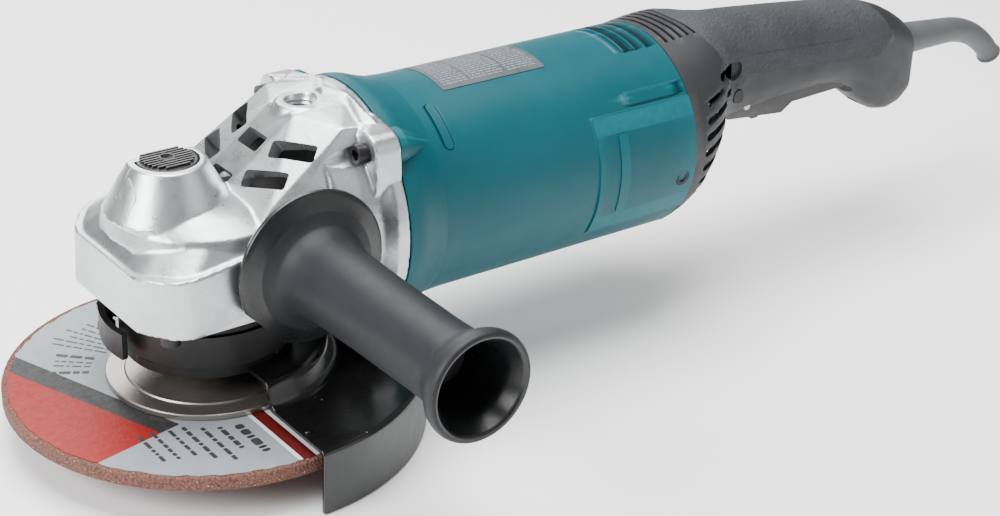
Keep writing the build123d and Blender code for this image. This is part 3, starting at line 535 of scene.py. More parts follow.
finishes["labelInk"] = finishOf("labelInk", (0.14, 0.155, 0.165), (0.20, 0.215, 0.225), 500, (0.4, 0.5))
print("materials made")


# ---- gear case: a casting built up from hulls, then skinned

gearCaseShape = {
    "voxel": 0.0008,
    "smoothing": 2,
    "blockHalf": 46.9,         # half width of the square block over the wheel
    "ledgeFront": 76.5,        # height of the ledge at the front
    "ledgeSlope": 0.135,
    "domeRadius": 43.5,
    "lockAt": -15.8,
    "lockTop": 112.6,
    "holeAt": 49.2,
    "earAt": 40.0,
}


def tray(front, rear, half, z, slope=0.0, nose=18.0):
    # the case's plan: square at the rear, its front corners cut back; it rises to the rear
    shape = outline([(front, nose - half, 5), (front, half - nose, 5), (front + 12.5, half, 7),
                     (rear, half),
                     (rear, -half), (front + 12.5, -half, 7)])
    shape.transform(turn(-90, "X"))
    for vert in shape.verts:
        vert.co.z += z + slope * (vert.co.x - front)
    return shape


def makeGearCase():
    s = gearCaseShape
    half, ledge, slope, lock = s["blockHalf"], s["ledgeFront"], s["ledgeSlope"], s["lockAt"]
    block = hullOf(tray(-48.2, 60, half, 51.9), tray(-47.4, 62, half - 0.6, ledge, slope))
    shoulder = hullOf(tray(-46.2, 62, half - 2.0, ledge - 1, slope),
                      tray(-36, 62, half - 9.5, ledge + 8.5, slope, 16))
    dome = hullOf(disc(20.5, move(lock, 0, 98.5)), disc(31, move(-6, 0, 94.5)),
                  disc(40.5, move(-1, 0, 89)), disc(s["domeRadius"], move(0, 0, 82)))
    ridge = hullOf(corners([(-4, 9, 90), (40, 9.5, 123.7), (50, 14, 125.4), (13, 35.5, 96.5),
                            (51, 31, 122.6),
                            (0, 39, 84), (62, 47, 84), (8, 43, 84), (62, 33, 122), (62, 14, 127)], True))
    lockBoss = turned([(0, 84), (28.5, 91), (22.5, 100), (18.2, 109), (16.7, s["lockTop"], 0.6),
                       (0, s["lockTop"])])
    geom = list(lockBoss.verts) + list(lockBoss.edges) + list(lockBoss.faces)
    bmesh.ops.bisect_plane(lockBoss, geom=geom, plane_co=(0, 7.4, s["lockTop"]), plane_no=(0, 1, 0.42),
                           clear_outer=True)
    lockBoss = hullOf(moved(lockBoss, move(lock, 0, 0)))
    flare = lofted([(40, 88, 54, 121, 33), (52, 94.5, 32, 125.4, 43), (60, 101, 23.5, 128, 49.5),
                    (64.5, 112.6, 17.3, 129.7, 56),
                    (70, 112.8, 17.1, 129.9, 56.2)], segments=24)
    ears = []
    for up in (1, -1):
        z = motorAxis + up * s["earAt"]
        lug = [disc(8.6, move(x, -s["earAt"], z) @ turn(90, "Y")) for x in (57.2, 70)]
        lug.append(corners([(60, -30, z + up * 6.5), (70, -26, z + up * 11), (58, -46.5, z - up * 24),
                            (70, -50, z - up * 20)]))
        ears.append(bothSides(hullOf(*lug)))
    holeBoss = turned([(0, 108), (15, 108), (13, 121, 2), (10.4, 125.6, 0.6), (0, 125.6)],
                      centre=(s["holeAt"], 0, 0))
    facet = hullOf(corners([(55, 9, 124), (55, -9, 124), (66, 12, 129.4), (66, -12, 129.4), (60, 0, 129.6),
                            (52, 12, 118), (52, -12, 118)]))
    brow = bothSides(hullOf(corners([(58, -22, 122), (66, -14, 129.2), (66, -34, 124.6), (61, -32, 123.4),
                                     (66, -40, 112), (60, -20, 110)])))
    case = made("gearCase", together(block, shoulder, dome, ridge, lockBoss, flare, *ears, holeBoss, facet,
                                     brow))
    cast(case, s["voxel"], s["smoothing"])
    print("gear case skinned", len(case.data.polygons))

    # hollows that don't meet each other go in together
    frontPanel = outline([(-43, 48), (-38.5, 62.5), (38.5, 62.5), (43, 48)])
    frontPanel = pulled(moved(frontPanel, move(-52, 0, 0) @ turn(90, "Z")), (4.7, 0, 0))
    sidePanel = outline([(-28, 48), (-18.5, 63), (34, 64.5), (42, 48)])
    sidePanel = bothSides(pulled(moved(sidePanel, move(0, -52, 0)), (0, 6.0, 0)))
    for finish in ("castAluminium", "casePaintedShade"):
        case.data.materials.append(finishes[finish])
    cut(case, together(frontPanel, sidePanel))
    cut(case, pulled(tray(-44.2, 43, 43, 40), (0, 0, 17)))
    # the air room's walls take the second, near-black material: painted shade inside the vents
    room = lofted(airRoom)
    for face in room.faces:
        face.material_index = 1
    cut(case, room)
    cut(case, together(*fittings()))
    cut(case, turned([(0, 40), (31.5, 40), (31.5, 71), (0, 71)]))
    cut(case, together(*ventTools()), overlapping=True)
    cut(case, turned([(0, 12), (12, 12), (12, 45), (16, 45), (16, 57), (13.5, 57), (34, 63), (49.5, 71.5),
                      (0, 71.5)],
                     axis="x", centre=(0, 0, motorAxis)))
    return done(case, "housing", "cast_alloy", finishes["castAluminium"], "gear_housing", angle=38)


airRoom = [(12, 40, 90, 95, 3), (30, 62, 92, 107, 8), (44, 62, 93, 116, 12), (57, 62, 93, 120, 16)]


def fittings():
    # the threaded holes, the screws' seats and the button's well
    s = gearCaseShape
    thread = [(0, 104)]
    for i in range(10):
        thread += [(6.2, 105.2 + 2 * i), (6.9, 106.2 + 2 * i)]
    thread += [(6.9, 125.2), (7.6, 126.4), (7.6, 131), (0, 131)]
    tools = [turned(thread, centre=(s["holeAt"], 0, 0), steps=48)]
    sideThread = [(0, 29)]
    for i in range(8):
        sideThread += [(6.2, 30.0 + 2 * i), (6.9, 31.0 + 2 * i)]
    sideThread += [(7.4, 47.2), (7.4, 60), (0, 60)]
    tools += [turned(sideThread, "y", (23, 0, motorAxis), steps=48),
              moved(turned(sideThread, "y", (23, 0, motorAxis), steps=48), Matrix.Scale(-1, 4, (0, 1, 0)))]
    for side in (-1, 1):
        for up in (-1, 1):
            seat = turned([(0, 40), (5.6, 40), (5.6, 57.1), (0, 57.1)], "x",
                          (0, side * s["earAt"], motorAxis + up * s["earAt"]), steps=32)
            tools.append(seat)
    well = turned([(0, 101.8), (13.9, 101.8), (13.9, 116), (0, 116)], steps=64)
    geom = list(well.verts) + list(well.edges) + list(well.faces)
    bmesh.ops.bisect_plane(well, geom=geom, plane_co=(0, 4.3, 0), plane_no=(0, 1, 0), clear_outer=True)
    tools.append(hullOf(moved(well, move(s["lockAt"], 0, 0))))
    return tools


def ventTools():
    tools = []
    for x, z, length in ((9.4, 99.9, 5.6), (25.3, 112.4, 8.4)):
        shape = pulled(plate(length, 15.5, 1.4, move(0, 0, -15)), (0, 0, 30))
        tools.append(moved(shape, move(x, 0, z) @ turn(-38, "Y")))
    for x, z in ((17.9, 103.6), (31.2, 114.1)):
        shape = pulled(plate(8.6, 21, 1.5, move(0, 0, -15)), (0, 0, 30))
        shape = moved(shape, move(x, -22.3, z) @ turn(-38, "Y") @ turn(28, "Z"))
        tools.append(bothSides(shape))
    return tools


def makeTurnArrow(case):
    # the cast arrow that shows which way the wheel turns, laid over the case's nose
    head = outline([(0, 0), (9, 4.2), (8, 0.6), (8.4, -3.4)])
    tail = outline([(10, 1.8), (19, 2.0, 0.8), (19, -1.8, 0.8), (10, -2.2)])
    shape = together(head, tail)
    shape.transform(turn(-90, "X"))
    bmesh.ops.scale(shape, vec=(1, 1, 0), verts=list(shape.verts))
    bmesh.ops.triangulate(shape, faces=list(shape.faces))
    bmesh.ops.subdivide_edges(shape, edges=list(shape.edges), cuts=5, use_grid_fill=True)
    shape.transform(move(-35, 9, 0) @ turn(-98, "Z"))
    tree = BVHTree.FromObject(case, bpy.context.evaluated_depsgraph_get())
    for vert in shape.verts:
        hit = tree.ray_cast(Vector((vert.co.x, vert.co.y, 140)) * 0.001, Vector((0, 0, -1)))[0]
        vert.co.z = hit.z * 1000 - 0.4
    pulled(shape, (-0.25, 0, 1.0))
    obj = rounded(made("turnArrow", shape), 0.00025, 50, 2)
    return done(obj, "housing", "cast_alloy", finishes["castAluminium"])


gearCase = makeGearCase()
makeTurnArrow(gearCase)
print("gear case done")


# ---- lock button

def makeLockButton():
    at = gearCaseShape["lockAt"]
    cap = turned([(0, 107.9), (13.2, 107.9), (13.2, 112.6, 0.7), (0, 113.1)], steps=64)
    cap = made("lockButton", cap)
    cut(cap, pulled(plate(60, 20, 0, move(0, 14.0, 100)), (0, 0, 30)))
    ribs = []
    for i in range(-5, 4):
        across = 2.1 * i + 0.6
        reach = math.sqrt(max(0, 11.4 ** 2 - across ** 2))
        ribs.append(pulled(plate(2 * reach, 0.95, 0.3, move(0, across, 112.3)), (0, 0, 1.5)))
    cut(cap, together(*ribs), "UNION")
    cut(cap, turned([(0, 112.4), (2.4, 112.6), (3.0, 116), (0, 116)], steps=32))
    cut(cap, turned([(2.5, 112.2), (2.5, 113.9, 0.2), (3.5, 113.9, 0.2), (3.5, 112.2)], steps=32), "UNION")
    cap.data.transform(move(at * 0.001, 0, 0))
    return done(rounded(cap, 0.0002, 45, 2), "shaft_lock", "trigger_plastic", finishes["buttonNylon"],
                "lock_button")


makeLockButton()


# ---- wheel, flange and nut

wheelShape = {
    "radius": 90.0,
    "thickness": 6.0,
    "labelRadius": 88.0,
}


def makeWheel():
    r, t = wheelShape["radius"], wheelShape["thickness"]
    body = turned([(11.2, 4.3), (33, 4.3, 1.5), (38, 0, 1.5), (r, 0, 0.7), (r, t, 0.5), (37, t, 1.5),
                   (35.4, 8.8, 1.5),
                   (11.2, 8.8)], steps=180)
    rng = random.Random(11)
    for vert in body.verts:          # the rim is ground rough
        flat = Vector((vert.co.x, vert.co.y, 0))
        if flat.length > r - 1.2:
            vert.co -= flat.normalized() * rng.random() * 0.18
    done(made("grindingWheel", body), "spindle", "abrasive", finishes["wheelGrit"], "grinding_wheel",
         angle=50)


def makeWheelLabel():
    # one paper ring, cut along the printed shapes, each with its own ink
    t, edge = wheelShape["thickness"], wheelShape["labelRadius"]
    shape = turned([(39, t + 0.02), (39, t + 0.28), (edge, t + 0.28), (edge, t + 0.02)], steps=240)
    rng = random.Random(3)
    for vert in shape.verts:          # ragged outer edge
        flat = Vector((vert.co.x, vert.co.y, 0))
        if flat.length > edge - 0.5:
            wave = 0.25 * math.sin(23 * math.atan2(flat.y,
                                                   flat.x)) + 0.3 * math.sin(57 * math.atan2(flat.y,
                                                                                             flat.x))
            vert.co -= flat.normalized() * (0.5 + wave + 0.35 * rng.random())
    lines = [((-42.7, -36.7), (-67, 27.3)), ((-42.7, -36.7), (-74.3, -43.4)),
             ((-38.5, -18.8), (-56.7, 31.1))]
    lines += [((x, 0), (x, -80)) for x in (-5.2, -3.3, 2.8, 4.7)]
    for (x0, y0), (x1, y1) in lines:
        sliced(shape, (x0, y0, 0), (y1 - y0, x0 - x1, 0))

    def beyond(at, line):
        (x0, y0), (x1, y1) = lines[line]
        return (at.x - x0) * (y1 - y0) - (at.y - y0) * (x1 - x0) > 0

    for face in shape.faces:
        at = face.calc_center_median()
        if at.x < -20 and beyond(at, 1) and not beyond(at, 2):
            face.material_index = 2 if beyond(at, 0) else 1
        elif at.y < 0 and -5.2 < at.x < 4.7:
            face.material_index = 3 if -3.3 < at.x < 2.8 else 4
    inks = [finishes[n] for n in ("greyPaper", "redPaper", "darkPaper", "maroonPaper", "whitePaper")]
    done(made("wheelLabel", shape), "spindle", "wheel_paper", inks, "wheel_label")


def makePrintLines():
    # dashes where the label has its small print, none of it readable
    t = wheelShape["thickness"]
    rng = random.Random(5)
    dashes = []

    def line(matrix, start, end, height):
        while start < end - 2:
            word = min(end, start + rng.uniform(1.8, 6.0))
            dash = pulled(plate(word - start, height, height * 0.3, move((start + word) / 2, 0, t + 0.27),
                                2), (0, 0, 0.05))
            dashes.append(moved(dash, matrix))
            start = word + 0.9

    for azimuth in (111, 114.5, 118, 121.5, 125, 128.5):
        line(turn(azimuth, "Z"), 49, 79 - 8 * rng.random(), 1.1)
    for azimuth, height in ((136, 2.4), (140.5, 1.2), (144, 1.2), (149.5, 2.4)):
        line(turn(azimuth, "Z"), 52, 70, height)
    for x, height in ((-12.5, 4.0), (-20, 2.4), (-26.5, 2.0), (-33, 2.0), (-39, 1.8), (-46, 1.8),
                      (-52, 1.8)):
        reach = math.sqrt(83 ** 2 - x ** 2)
        line(move(x, 0, 0) @ turn(-90, "Z"), max(math.sqrt(max(0, 50 ** 2 - x ** 2)), 34),
             reach - 6 - 8 * rng.random(), height)
    done(made("labelPrint", together(*dashes)), "spindle", "wheel_paper", finishes["inkPaper"])


def makeFlange():
    shape = turned([(7.05, 5.4), (9.7, 5.4, 0.3), (9.7, 8.9), (36.2, 8.9), (37.5, 6.35, 0.4),
                    (44.7, 6.35, 0.4), (45, 9.0, 0.35),
                    (44.4, 9.4, 0.2), (36.6, 9.5, 0.2), (36.0, 10.35, 0.3), (16.5, 10.5, 1.5),
                    (14, 12, 0.8), (14, 18, 0.4), (7.05, 18)],
                   steps=144)
    done(made("innerFlange", shape), "spindle", "turned_steel", finishes["brushedRing"], "inner_flange",
         angle=28)
    nut = made("lockNut", turned([(7.05, 1.2, 0.3), (18.2, 1.2, 0.5), (20, 2.4, 0.4), (20, 4.3, 0.3),
                                  (7.05, 4.3)], steps=96))
    holes = [turned([(0, -1), (2.0, -1), (2.0, 3.4), (0, 3.4)],
                    centre=(15 * math.cos(a), 15 * math.sin(a), 0), steps=24)
             for a in (math.radians(45 + 90 * i) for i in range(4))]
    cut(nut, together(*holes))
    done(rounded(nut, 0.0002, 50, 2), "spindle", "turned_steel", finishes["brushedRing"], "lock_nut")


makeWheel()
makeWheelLabel()
makePrintLines()
makeFlange()
print("wheel done")


# ---- guard and its collar

guardShape = {
    "radius": 98.0,
    "wall": 2.0,
    "top": 13.5,
    "low": -16.5,
    "dome": 52.0,
    "domeTop": 24.5,
    "collarTop": 46.0,
}


def makeGuard():
    g = guardShape
    r, w, top, low, dome, domeTop = (g[k] for k in ("radius", "wall", "top", "low", "dome", "domeTop"))
    cover = turned([(34.05, domeTop), (34.05, domeTop - w), (dome - 1.6, domeTop - w, 2),
                    (dome + 2.6, top - w, 2),
                    (r - w, top - w, 1.0), (r - w, low), (r, low, 0.4), (r, top, 2.8),
                    (dome + 4.6, top, 3.2),
                    (dome + 0.6, domeTop, 3.4)],
                   angle=180, start=-90, steps=110)
    guard = made("guardCover", cover)
    nose = pulled(outline([(-6, -30), (-6, low - 1), (9, low - 1)]), (0, 240, 0))
    nose = moved(nose, move(0, -120, 0))
    cut(guard, nose)
    rounded(guard, 0.0006, 50, 3)
    done(guard, "guard", "guard_paint", [finishes["glossBlack"], finishes["guardSkirtPaintedReflection"]], "wheel_guard",
         angle=32)
    # the skirt's faces take the lighter, rougher copy of the paint: painted reflection of the bright
    # surroundings
    for face in guard.data.polygons:
        at = face.center
        if math.hypot(at.x, at.y) > (r - 0.9) * 0.001 and at.z < (top - 1.4) * 0.001:
            face.material_index = 1
    collar = made("guardCollar",
                  turned([(34.05, domeTop - w), (34.05, g["collarTop"], 0.4), (36.4, g["collarTop"], 0.5),
                                         (36.4, domeTop - w)], steps=128))
    slots = []
    for azimuth in (-164.5, -40, 75):
        flat = plate(4.2, 11.6, 2.05, move(0, 0, 30))
        slots.append(moved(pulled(flat, (0, 0, 12)), turn(azimuth, "Z") @ move(0, 0, 28.6) @ turn(90, "Y")))
    cut(collar, together(*slots))
    rounded(collar, 0.0003, 50, 2)
    done(collar, "guard", "guard_paint", finishes["satinBlack"], angle=32)
    nubs = [turned([(0, 13), (1.3, 13), (1.2, 14.4, 0.5), (0, 14.6)], centre=(x, y, 0), steps=24)
            for x, y in ((2.6, -80.5), (2.6, 80.5))]
    done(made("guardNubs", together(*nubs)), "guard", "guard_paint", finishes["glossBlack"])


makeGuard()
softCopy("clampBand", "guard_clamp_band", 0.35, "guard", "guard_paint", finishes["satinBlack"])
softCopy("clampScrew", "guard_clamp_screw", 0.25, "guard", "black_fastener", finishes["blackOxide"])
softCopy("clampLever", "guard_lever", 0.4, "clamp_lever", "guard_paint", finishes["satinBlack"])
softCopy("neckCasting", "bearing_box", 0.5, "housing", "bearing_box_black", finishes["satinBlack"])
softCopy("neckScrews", "bearing_box_screws", 0.3, "housing", "black_fastener", finishes["blackOxide"])
softCopy("caseScrews", "gear_housing_screws", 0.3, "housing", "black_fastener", finishes["blackOxide"])
print("guard done")


# ---- motor barrel, brush covers and rating plate

barrelShape = {
    "front": 70.6,
    "rear": 238.6,
    "rim": 56.5,
    "coverFront": 180.0,
    "coverAngles": (55.0, 124.0),
    "recess": (203.5, 234.0),
    "labelEnds": (114, 171.5),
    "labelArc": 32.5,
}


def makeBarrel():
    b = barrelShape
    front, rim, rear = b["front"], b["rim"], b["rear"]
    shell = turned([(47.4, front), (rim, front, 0.5), (rim, 77.5, 3), (53.6, 85, 8), (51.4, 93, 8),
                    (barrelRadius, 104, 8),
                    (barrelRadius, rear, 0.5), (47.4, rear)],
                   "x", (0, 0, motorAxis), steps=192)
    for i in range(20):
        sliced(shell, (106.5 + 6.5 * i, 0, 0), (1, 0, 0))
    barrel = made("motorBarrel", shell)
    blisters = []
    for up in (1, -1):
        lug = [disc(8.2, move(x, -39.6, motorAxis + up * 39.6) @ turn(90, "Y")) for x in (70.6, 74)]
        lug.append(disc(4.5, move(85, -36.0, motorAxis + up * 36.0) @ turn(90, "Y")))
        lug.append(disc(2.0, move(95, -33.0, motorAxis + up * 33.0) @ turn(90, "Y")))
        blisters.append(bothSides(hullOf(*lug)))
    cut(barrel, together(*blisters), "UNION")
    cut(barrel, turned([(0, 60), (47.35, 60), (47.35, 110), (0, 110)], "x", (0, 0, motorAxis), steps=192))
    tools = []
    low, high = b["coverAngles"]
    for side in (1, -1):
        tools.append(patch((b["coverFront"] - 0.3, 245), (side * low - 0.3, side * high + 0.3) if side > 0
                           else (-high - 0.3, -low + 0.3), -4.6, 3, corner=0.8, pieces=40))
        recess = (side * 46.2, side * 53.0)
        tools.append(patch(b["recess"], sorted(recess), -1.9, 3, corner=0.6))
    cut(barrel, together(*tools))
    cut(barrel, patch((99.6, 104.0), (25, 52), -0.5, 0.55, corner=2.15), "UNION")
    grooves = [patch((x - 0.9, x + 0.9), (-21, 21), -0.9, 3, corner=0.85) for x in (217, 224, 231)]
    cut(barrel, together(*grooves))
    return done(barrel, "housing", "teal_shell", finishes["tealNylon"], "motor_housing", angle=30)


def makeBrushCover(name, side, node):
    b = barrelShape
    low, high = b["coverAngles"]
    angles = (low, high) if side > 0 else (-high, -low)
    cover = made(name, patch((b["coverFront"], b["rear"]), angles, -4.3, 0.45, corner=0.9, pieces=48))
    step = patch((b["coverFront"] - 2, 202.6), (53.2, 55.6) if side > 0 else (-55.6, -53.2), -5, 3,
                 corner=0.4)
    cut(cover, step)
    swell = patch((192, 197.5), (66, 112) if side > 0 else (-112, -66), 0.1, 0.95, corner=2.6, pieces=40)
    cut(cover, swell, "UNION")
    hole = turned([(0, 44), (2.1, 44), (2.1, 48.3), (3.9, 48.3), (3.9, 60), (0, 60)], "y",
                  (231.5, 0, 64.0), steps=40)
    if side < 0:
        hole = moved(hole, Matrix.Scale(-1, 4, (0, 1, 0)))
    cut(cover, hole)
    return done(cover, "housing", "teal_shell", finishes["tealNylon"], node, angle=30)


def makeRatingPlate():
    half = math.degrees(barrelShape["labelArc"] / 2 / barrelRadius)
    base = patch(barrelShape["labelEnds"], (-half, half), 0.02, 0.36, corner=1.6, pieces=30)
    done(rounded(made("ratingPlate", base), 0.0001, 50, 2), "housing", "label_film", finishes["labelGrey"],
         "rating_label")
    rng = random.Random(9)
    bars = []
    for x0, x1 in ((116.5, 130), (131.5, 151), (152.5, 169)):
        for row in range(15):
            angle = -15.6 + row * 2.1
            start = x0
            while start < x1 - 1.5:
                word = min(x1, start + rng.uniform(1.2, 4.2))
                bars.append(patch((start, word), (angle, angle + 0.85), 0.33, 0.40, corner=0.2, pieces=1))
                start = word + 0.6
    done(made("plateLines", together(*bars)), "housing", "label_film", finishes["labelInk"])


makeBarrel()
makeBrushCover("brushCoverLeft", 1, "brush_cover_left")
makeBrushCover("brushCoverRight", -1, "brush_cover_right")
makeRatingPlate()
softCopy("coverScrews", "brush_cover_screws", 0.2, "housing", "zinc_screw", finishes["blackOxide"])
print("barrel done")


# ---- tail cover and rear handle, cut from one form along their seams

handleShape = {
    "sections": [
        (238.7, 101.2, 22.9, 124.1, 50.1), (245, 99.6, 26, 124.3, 47.5), (252, 96.5, 31, 124.5, 44),
        (259, 90.5, 40, 124.6, 39),
        (265, 83, 49, 124.5, 34), (272, 67, 58, 124, 28), (279, 53, 64, 123, 23.5),
        (288, 45.5, 66.4, 121.8, 20.5),
        (300, 42, 67, 121, 19), (330, 40, 68.5, 118, 18.5), (360, 40, 69.5, 114.5, 18.5),
        (375, 39.8, 67.5, 112.6, 18),
        (384, 39, 63, 111, 17.5), (392, 37.8, 56.5, 109.6, 17), (400, 36, 50.5, 107.5, 16.5),
        (408, 34, 46.4, 104.6, 15.5),
        (415, 32, 45, 101, 14.5), (422, 29.5, 46.5, 96.5, 13), (428, 26, 50, 91.5, 11.5),
    ],
    "wall": 3.0,
    "seam": 0.3,
}
coverSide = [(230, 0), (230, 140), (256, 140), (259, 127), (274, 102), (283.5, 90), (279.5, 78), (279.5, 0)]
upperSide = [(256, 140), (259, 127), (274, 102), (283.5, 90), (290, 88), (299, 93.5), (396, 83.5),
             (405, 92.5),
             (401, 103.5), (392, 112), (388, 140)]
gripSide = [(272, 140), (272, 116), (300, 104), (372, 98), (379, 106), (381, 140)]
lowerSide = [(279.5, 0), (279.5, 78), (283.5, 90), (290, 88), (299, 93.5), (396, 83.5), (405, 92.5),
             (401, 103.5),
             (392, 112), (388, 140), (450, 140), (450, 0)]


def seamSlab(points, gap):
    # an outline drawn in by the seam's gap and stretched across the tool
    shape = outline(points)
    bmesh.ops.inset_region(shape, faces=list(shape.faces), thickness=gap, use_boundary=True,
                           use_even_offset=True)
    inner = max(shape.faces, key=lambda f: f.calc_area())
    bmesh.ops.delete(shape, geom=[f for f in shape.faces if f != inner], context="FACES")
    shape.transform(move(0, 70, 0))
    return pulled(shape, (0, -140, 0))


def handleForm(inset=0.0):
    return lofted(handleShape["sections"], inset, segments=10)


def shellPiece(name, points):
    obj = made(name, handleForm())
    cut(obj, handleForm(handleShape["wall"]))
    return cut(obj, seamSlab(points, handleShape["seam"]), "INTERSECT")


def makeTailCover():
    cover = shellPiece("tailCover", coverSide)
    slots = []
    for i in range(9):
        for side in (-1, 1):
            slot = pulled(moved(plate(46, 3.7, 1.8, move(23, 0, 0)), turn(90, "X")), (0, -side * 34, 0))
            start = (249, 247.5, 246.5, 246, 246, 246.5, 247.5, 249, 251)[i]
            slots.append(moved(slot, move(start, side * 50, 96 - 7.9 * i) @ turn(-14, "Y")))
    cut(cover, together(*slots))
    grooves = []
    for i in range(5):
        x = 243 + 4.4 * i
        groove = turned([(49.2 - i * 0.05, x - 0.9), (52, x - 0.9), (52, x + 0.9),
                         (49.2 - i * 0.05, x + 0.9)], "x",
                        (0, 0, motorAxis + 0.3 * i), angle=44, start=158, steps=30)
        grooves.append(groove)
    cut(cover, together(*grooves))
    scoop = bothSides(hullOf(disc(4.5, move(263, -46, 106.5) @ turn(90, "X")),
                             disc(7, move(286, -36, 98.5) @ turn(90, "X")),
                             disc(2.5, move(265, -36.8, 105) @ turn(90, "X")),
                             disc(4.5, move(287, -20.6, 98.5) @ turn(90, "X"))))
    cut(cover, scoop.copy())
    rounded(cover, 0.00035, 38, 2)
    done(cover, "housing", "dark_shell", finishes["darkNylon"], "tail_cover", angle=32)
    return scoop


def makeHandle(scoop):
    upper = shellPiece("handleUpper", upperSide)
    grip = outline(gripSide)
    grip.transform(move(0, 70, 0))
    pulled(grip, (0, -140, 0))
    skinCut = made("skin", handleForm(-0.5))
    cut(skinCut, handleForm(1.4))
    cut(skinCut, grip, "INTERSECT")
    cut(upper, shapeOf(skinCut))
    bpy.data.objects.remove(skinCut)
    cut(upper, scoop.copy())
    badge = [(311, 97.5), (330, 103.5), (356, 106.2), (359, 102.6), (369, 102.2), (372, 105.4), (384, 100),
             (392, 93.5), (352, 97.0), (312, 95.2)]
    line = outline(badge)
    bmesh.ops.inset_region(line, faces=list(line.faces), thickness=0.9, use_boundary=True,
                           use_even_offset=True)
    inner = max(line.faces, key=lambda f: f.calc_area())
    bmesh.ops.delete(line, geom=[inner], context="FACES_ONLY")
    line.transform(move(0, 30, 0))
    pulled(line, (0, -60, 0))
    keepOut = made("keepOut", handleForm(0.9))
    frameLine = made("frameLine", line)
    cut(frameLine, shapeOf(keepOut))
    cut(upper, shapeOf(frameLine))
    bpy.data.objects.remove(keepOut)
    bpy.data.objects.remove(frameLine)
    rounded(upper, 0.00035, 38, 2)
    done(upper, "housing", "soft_grip", finishes["softRubber"], "handle_upper", angle=32)

    skin = made("gripSkin", handleForm())
    cut(skin, handleForm(1.4))
    cut(skin, seamSlab(gripSide, 0.15), "INTERSECT")
    rounded(skin, 0.0003, 38, 2)
    done(skin, "housing", "soft_grip", finishes["softRubber"], "grip_overmould", angle=32)

    lower = shellPiece("handleLower", lowerSide)
    cut(lower, pulled(plate(99, 22.6, 2, move(337.5, 0, 40)), (0, 0, 40)))
    cut(lower, together(turned([(0, 415), (7.4, 415), (7.4, 435), (0, 435)], "x", (0, 0, 81), steps=48),
                        turned([(0, 21.3), (3.9, 21.3), (3.9, 40), (0, 40)], "y", (290.5, 0, 84), steps=32),
                        turned([(0, 40), (3.9, 40), (3.9, 60), (0, 60)], centre=(399, 0, 0), steps=32)))
    cut(lower, scoop)
    rounded(lower, 0.00035, 38, 2)
    done(lower, "housing", "dark_shell", finishes["darkNylon"], "handle_lower", angle=32)


makeHandle(makeTailCover())
softCopy("triggerLever", "trigger_lever", 0.8, "trigger", "trigger_plastic", finishes["buttonNylon"])
softCopy("lockLever", "lock_lever", 0.5, "safety_lever", "trigger_plastic", finishes["buttonNylon"])
softCopy("handleScrews", "handle_screws", 0.2, "housing", "zinc_screw", finishes["blackOxide"])
print("handle done")


# ---- cord guard

cordShape = {
    "start": 428.5,
    "height": 81.0,
    "straight": 38.0,
    "bendRadius": 56.0,
    "bend": 47.0,
}


def makeCordGuard():
    c = cordShape
    stations = []
    for i in range(9):
        share = i / 8
        stations.append((c["start"] - 3 + (c["straight"] + 3) * share, c["height"] - 2 * share, 3.4,
                         9.1 - 2.0 * share))
    x0, z0 = stations[-1][0], stations[-1][1]
    for i in range(1, 15):
        angle = 3.4 + c["bend"] * i / 14
        a, b = math.radians(angle), math.radians(3.4)
        stations.append((x0 + c["bendRadius"] * (math.sin(a) - math.sin(b)),
                         z0 - c["bendRadius"] * (math.cos(b) - math.cos(a)),
                         angle, 7.1 - 0.07 * i))
    x, z, angle, radius = stations[-1]
    ahead = Vector((math.cos(math.radians(angle)), 0, -math.sin(math.radians(angle))))
    for reach, size in ((0.4, 6.5), (0.9, 6.9), (1.6, 7.0), (2.1, 6.7), (2.2, 6.2), (2.1, 4.7), (1.4, 4.3),
                        (-9, 4.2)):
        stations.append((x + ahead.x * reach, z + ahead.z * reach, angle, size))
    shape = bmesh.new()
    loops = []
    for x, z, angle, radius in stations:
        place = move(x, 0, z) @ turn(90 + angle, "Y")
        ringMade = bmesh.ops.create_circle(shape, cap_ends=False, segments=40, radius=radius, matrix=place)
        loops.append([e for e in {e for v in ringMade["verts"] for e in v.link_edges}])
    for one, two in zip(loops, loops[1:]):
        bmesh.ops.bridge_loops(shape, edges=one + two)
    bmesh.ops.holes_fill(shape, edges=loops[0] + loops[-1], sides=60)
    bmesh.ops.recalc_face_normals(shape, faces=list(shape.faces))
    collar = turned([(0, 419), (9.6, 419, 0.5), (9.6, 422.6, 0.5), (7.1, 423), (7.1, 427), (0, 427)], "x",
                    (0, 0, c["height"]), steps=48)
    done(made("cordGuard", together(shape, collar)), "housing", "cord_rubber", finishes["cordRubber"],
         "cord_guard", angle=38)


makeCordGuard()


# ---- side handle

sideHandleShape = {
    "flange": 50.0,
    "end": 174.5,
    "rimRadius": 35.2,
    "waist": 16.8,
}


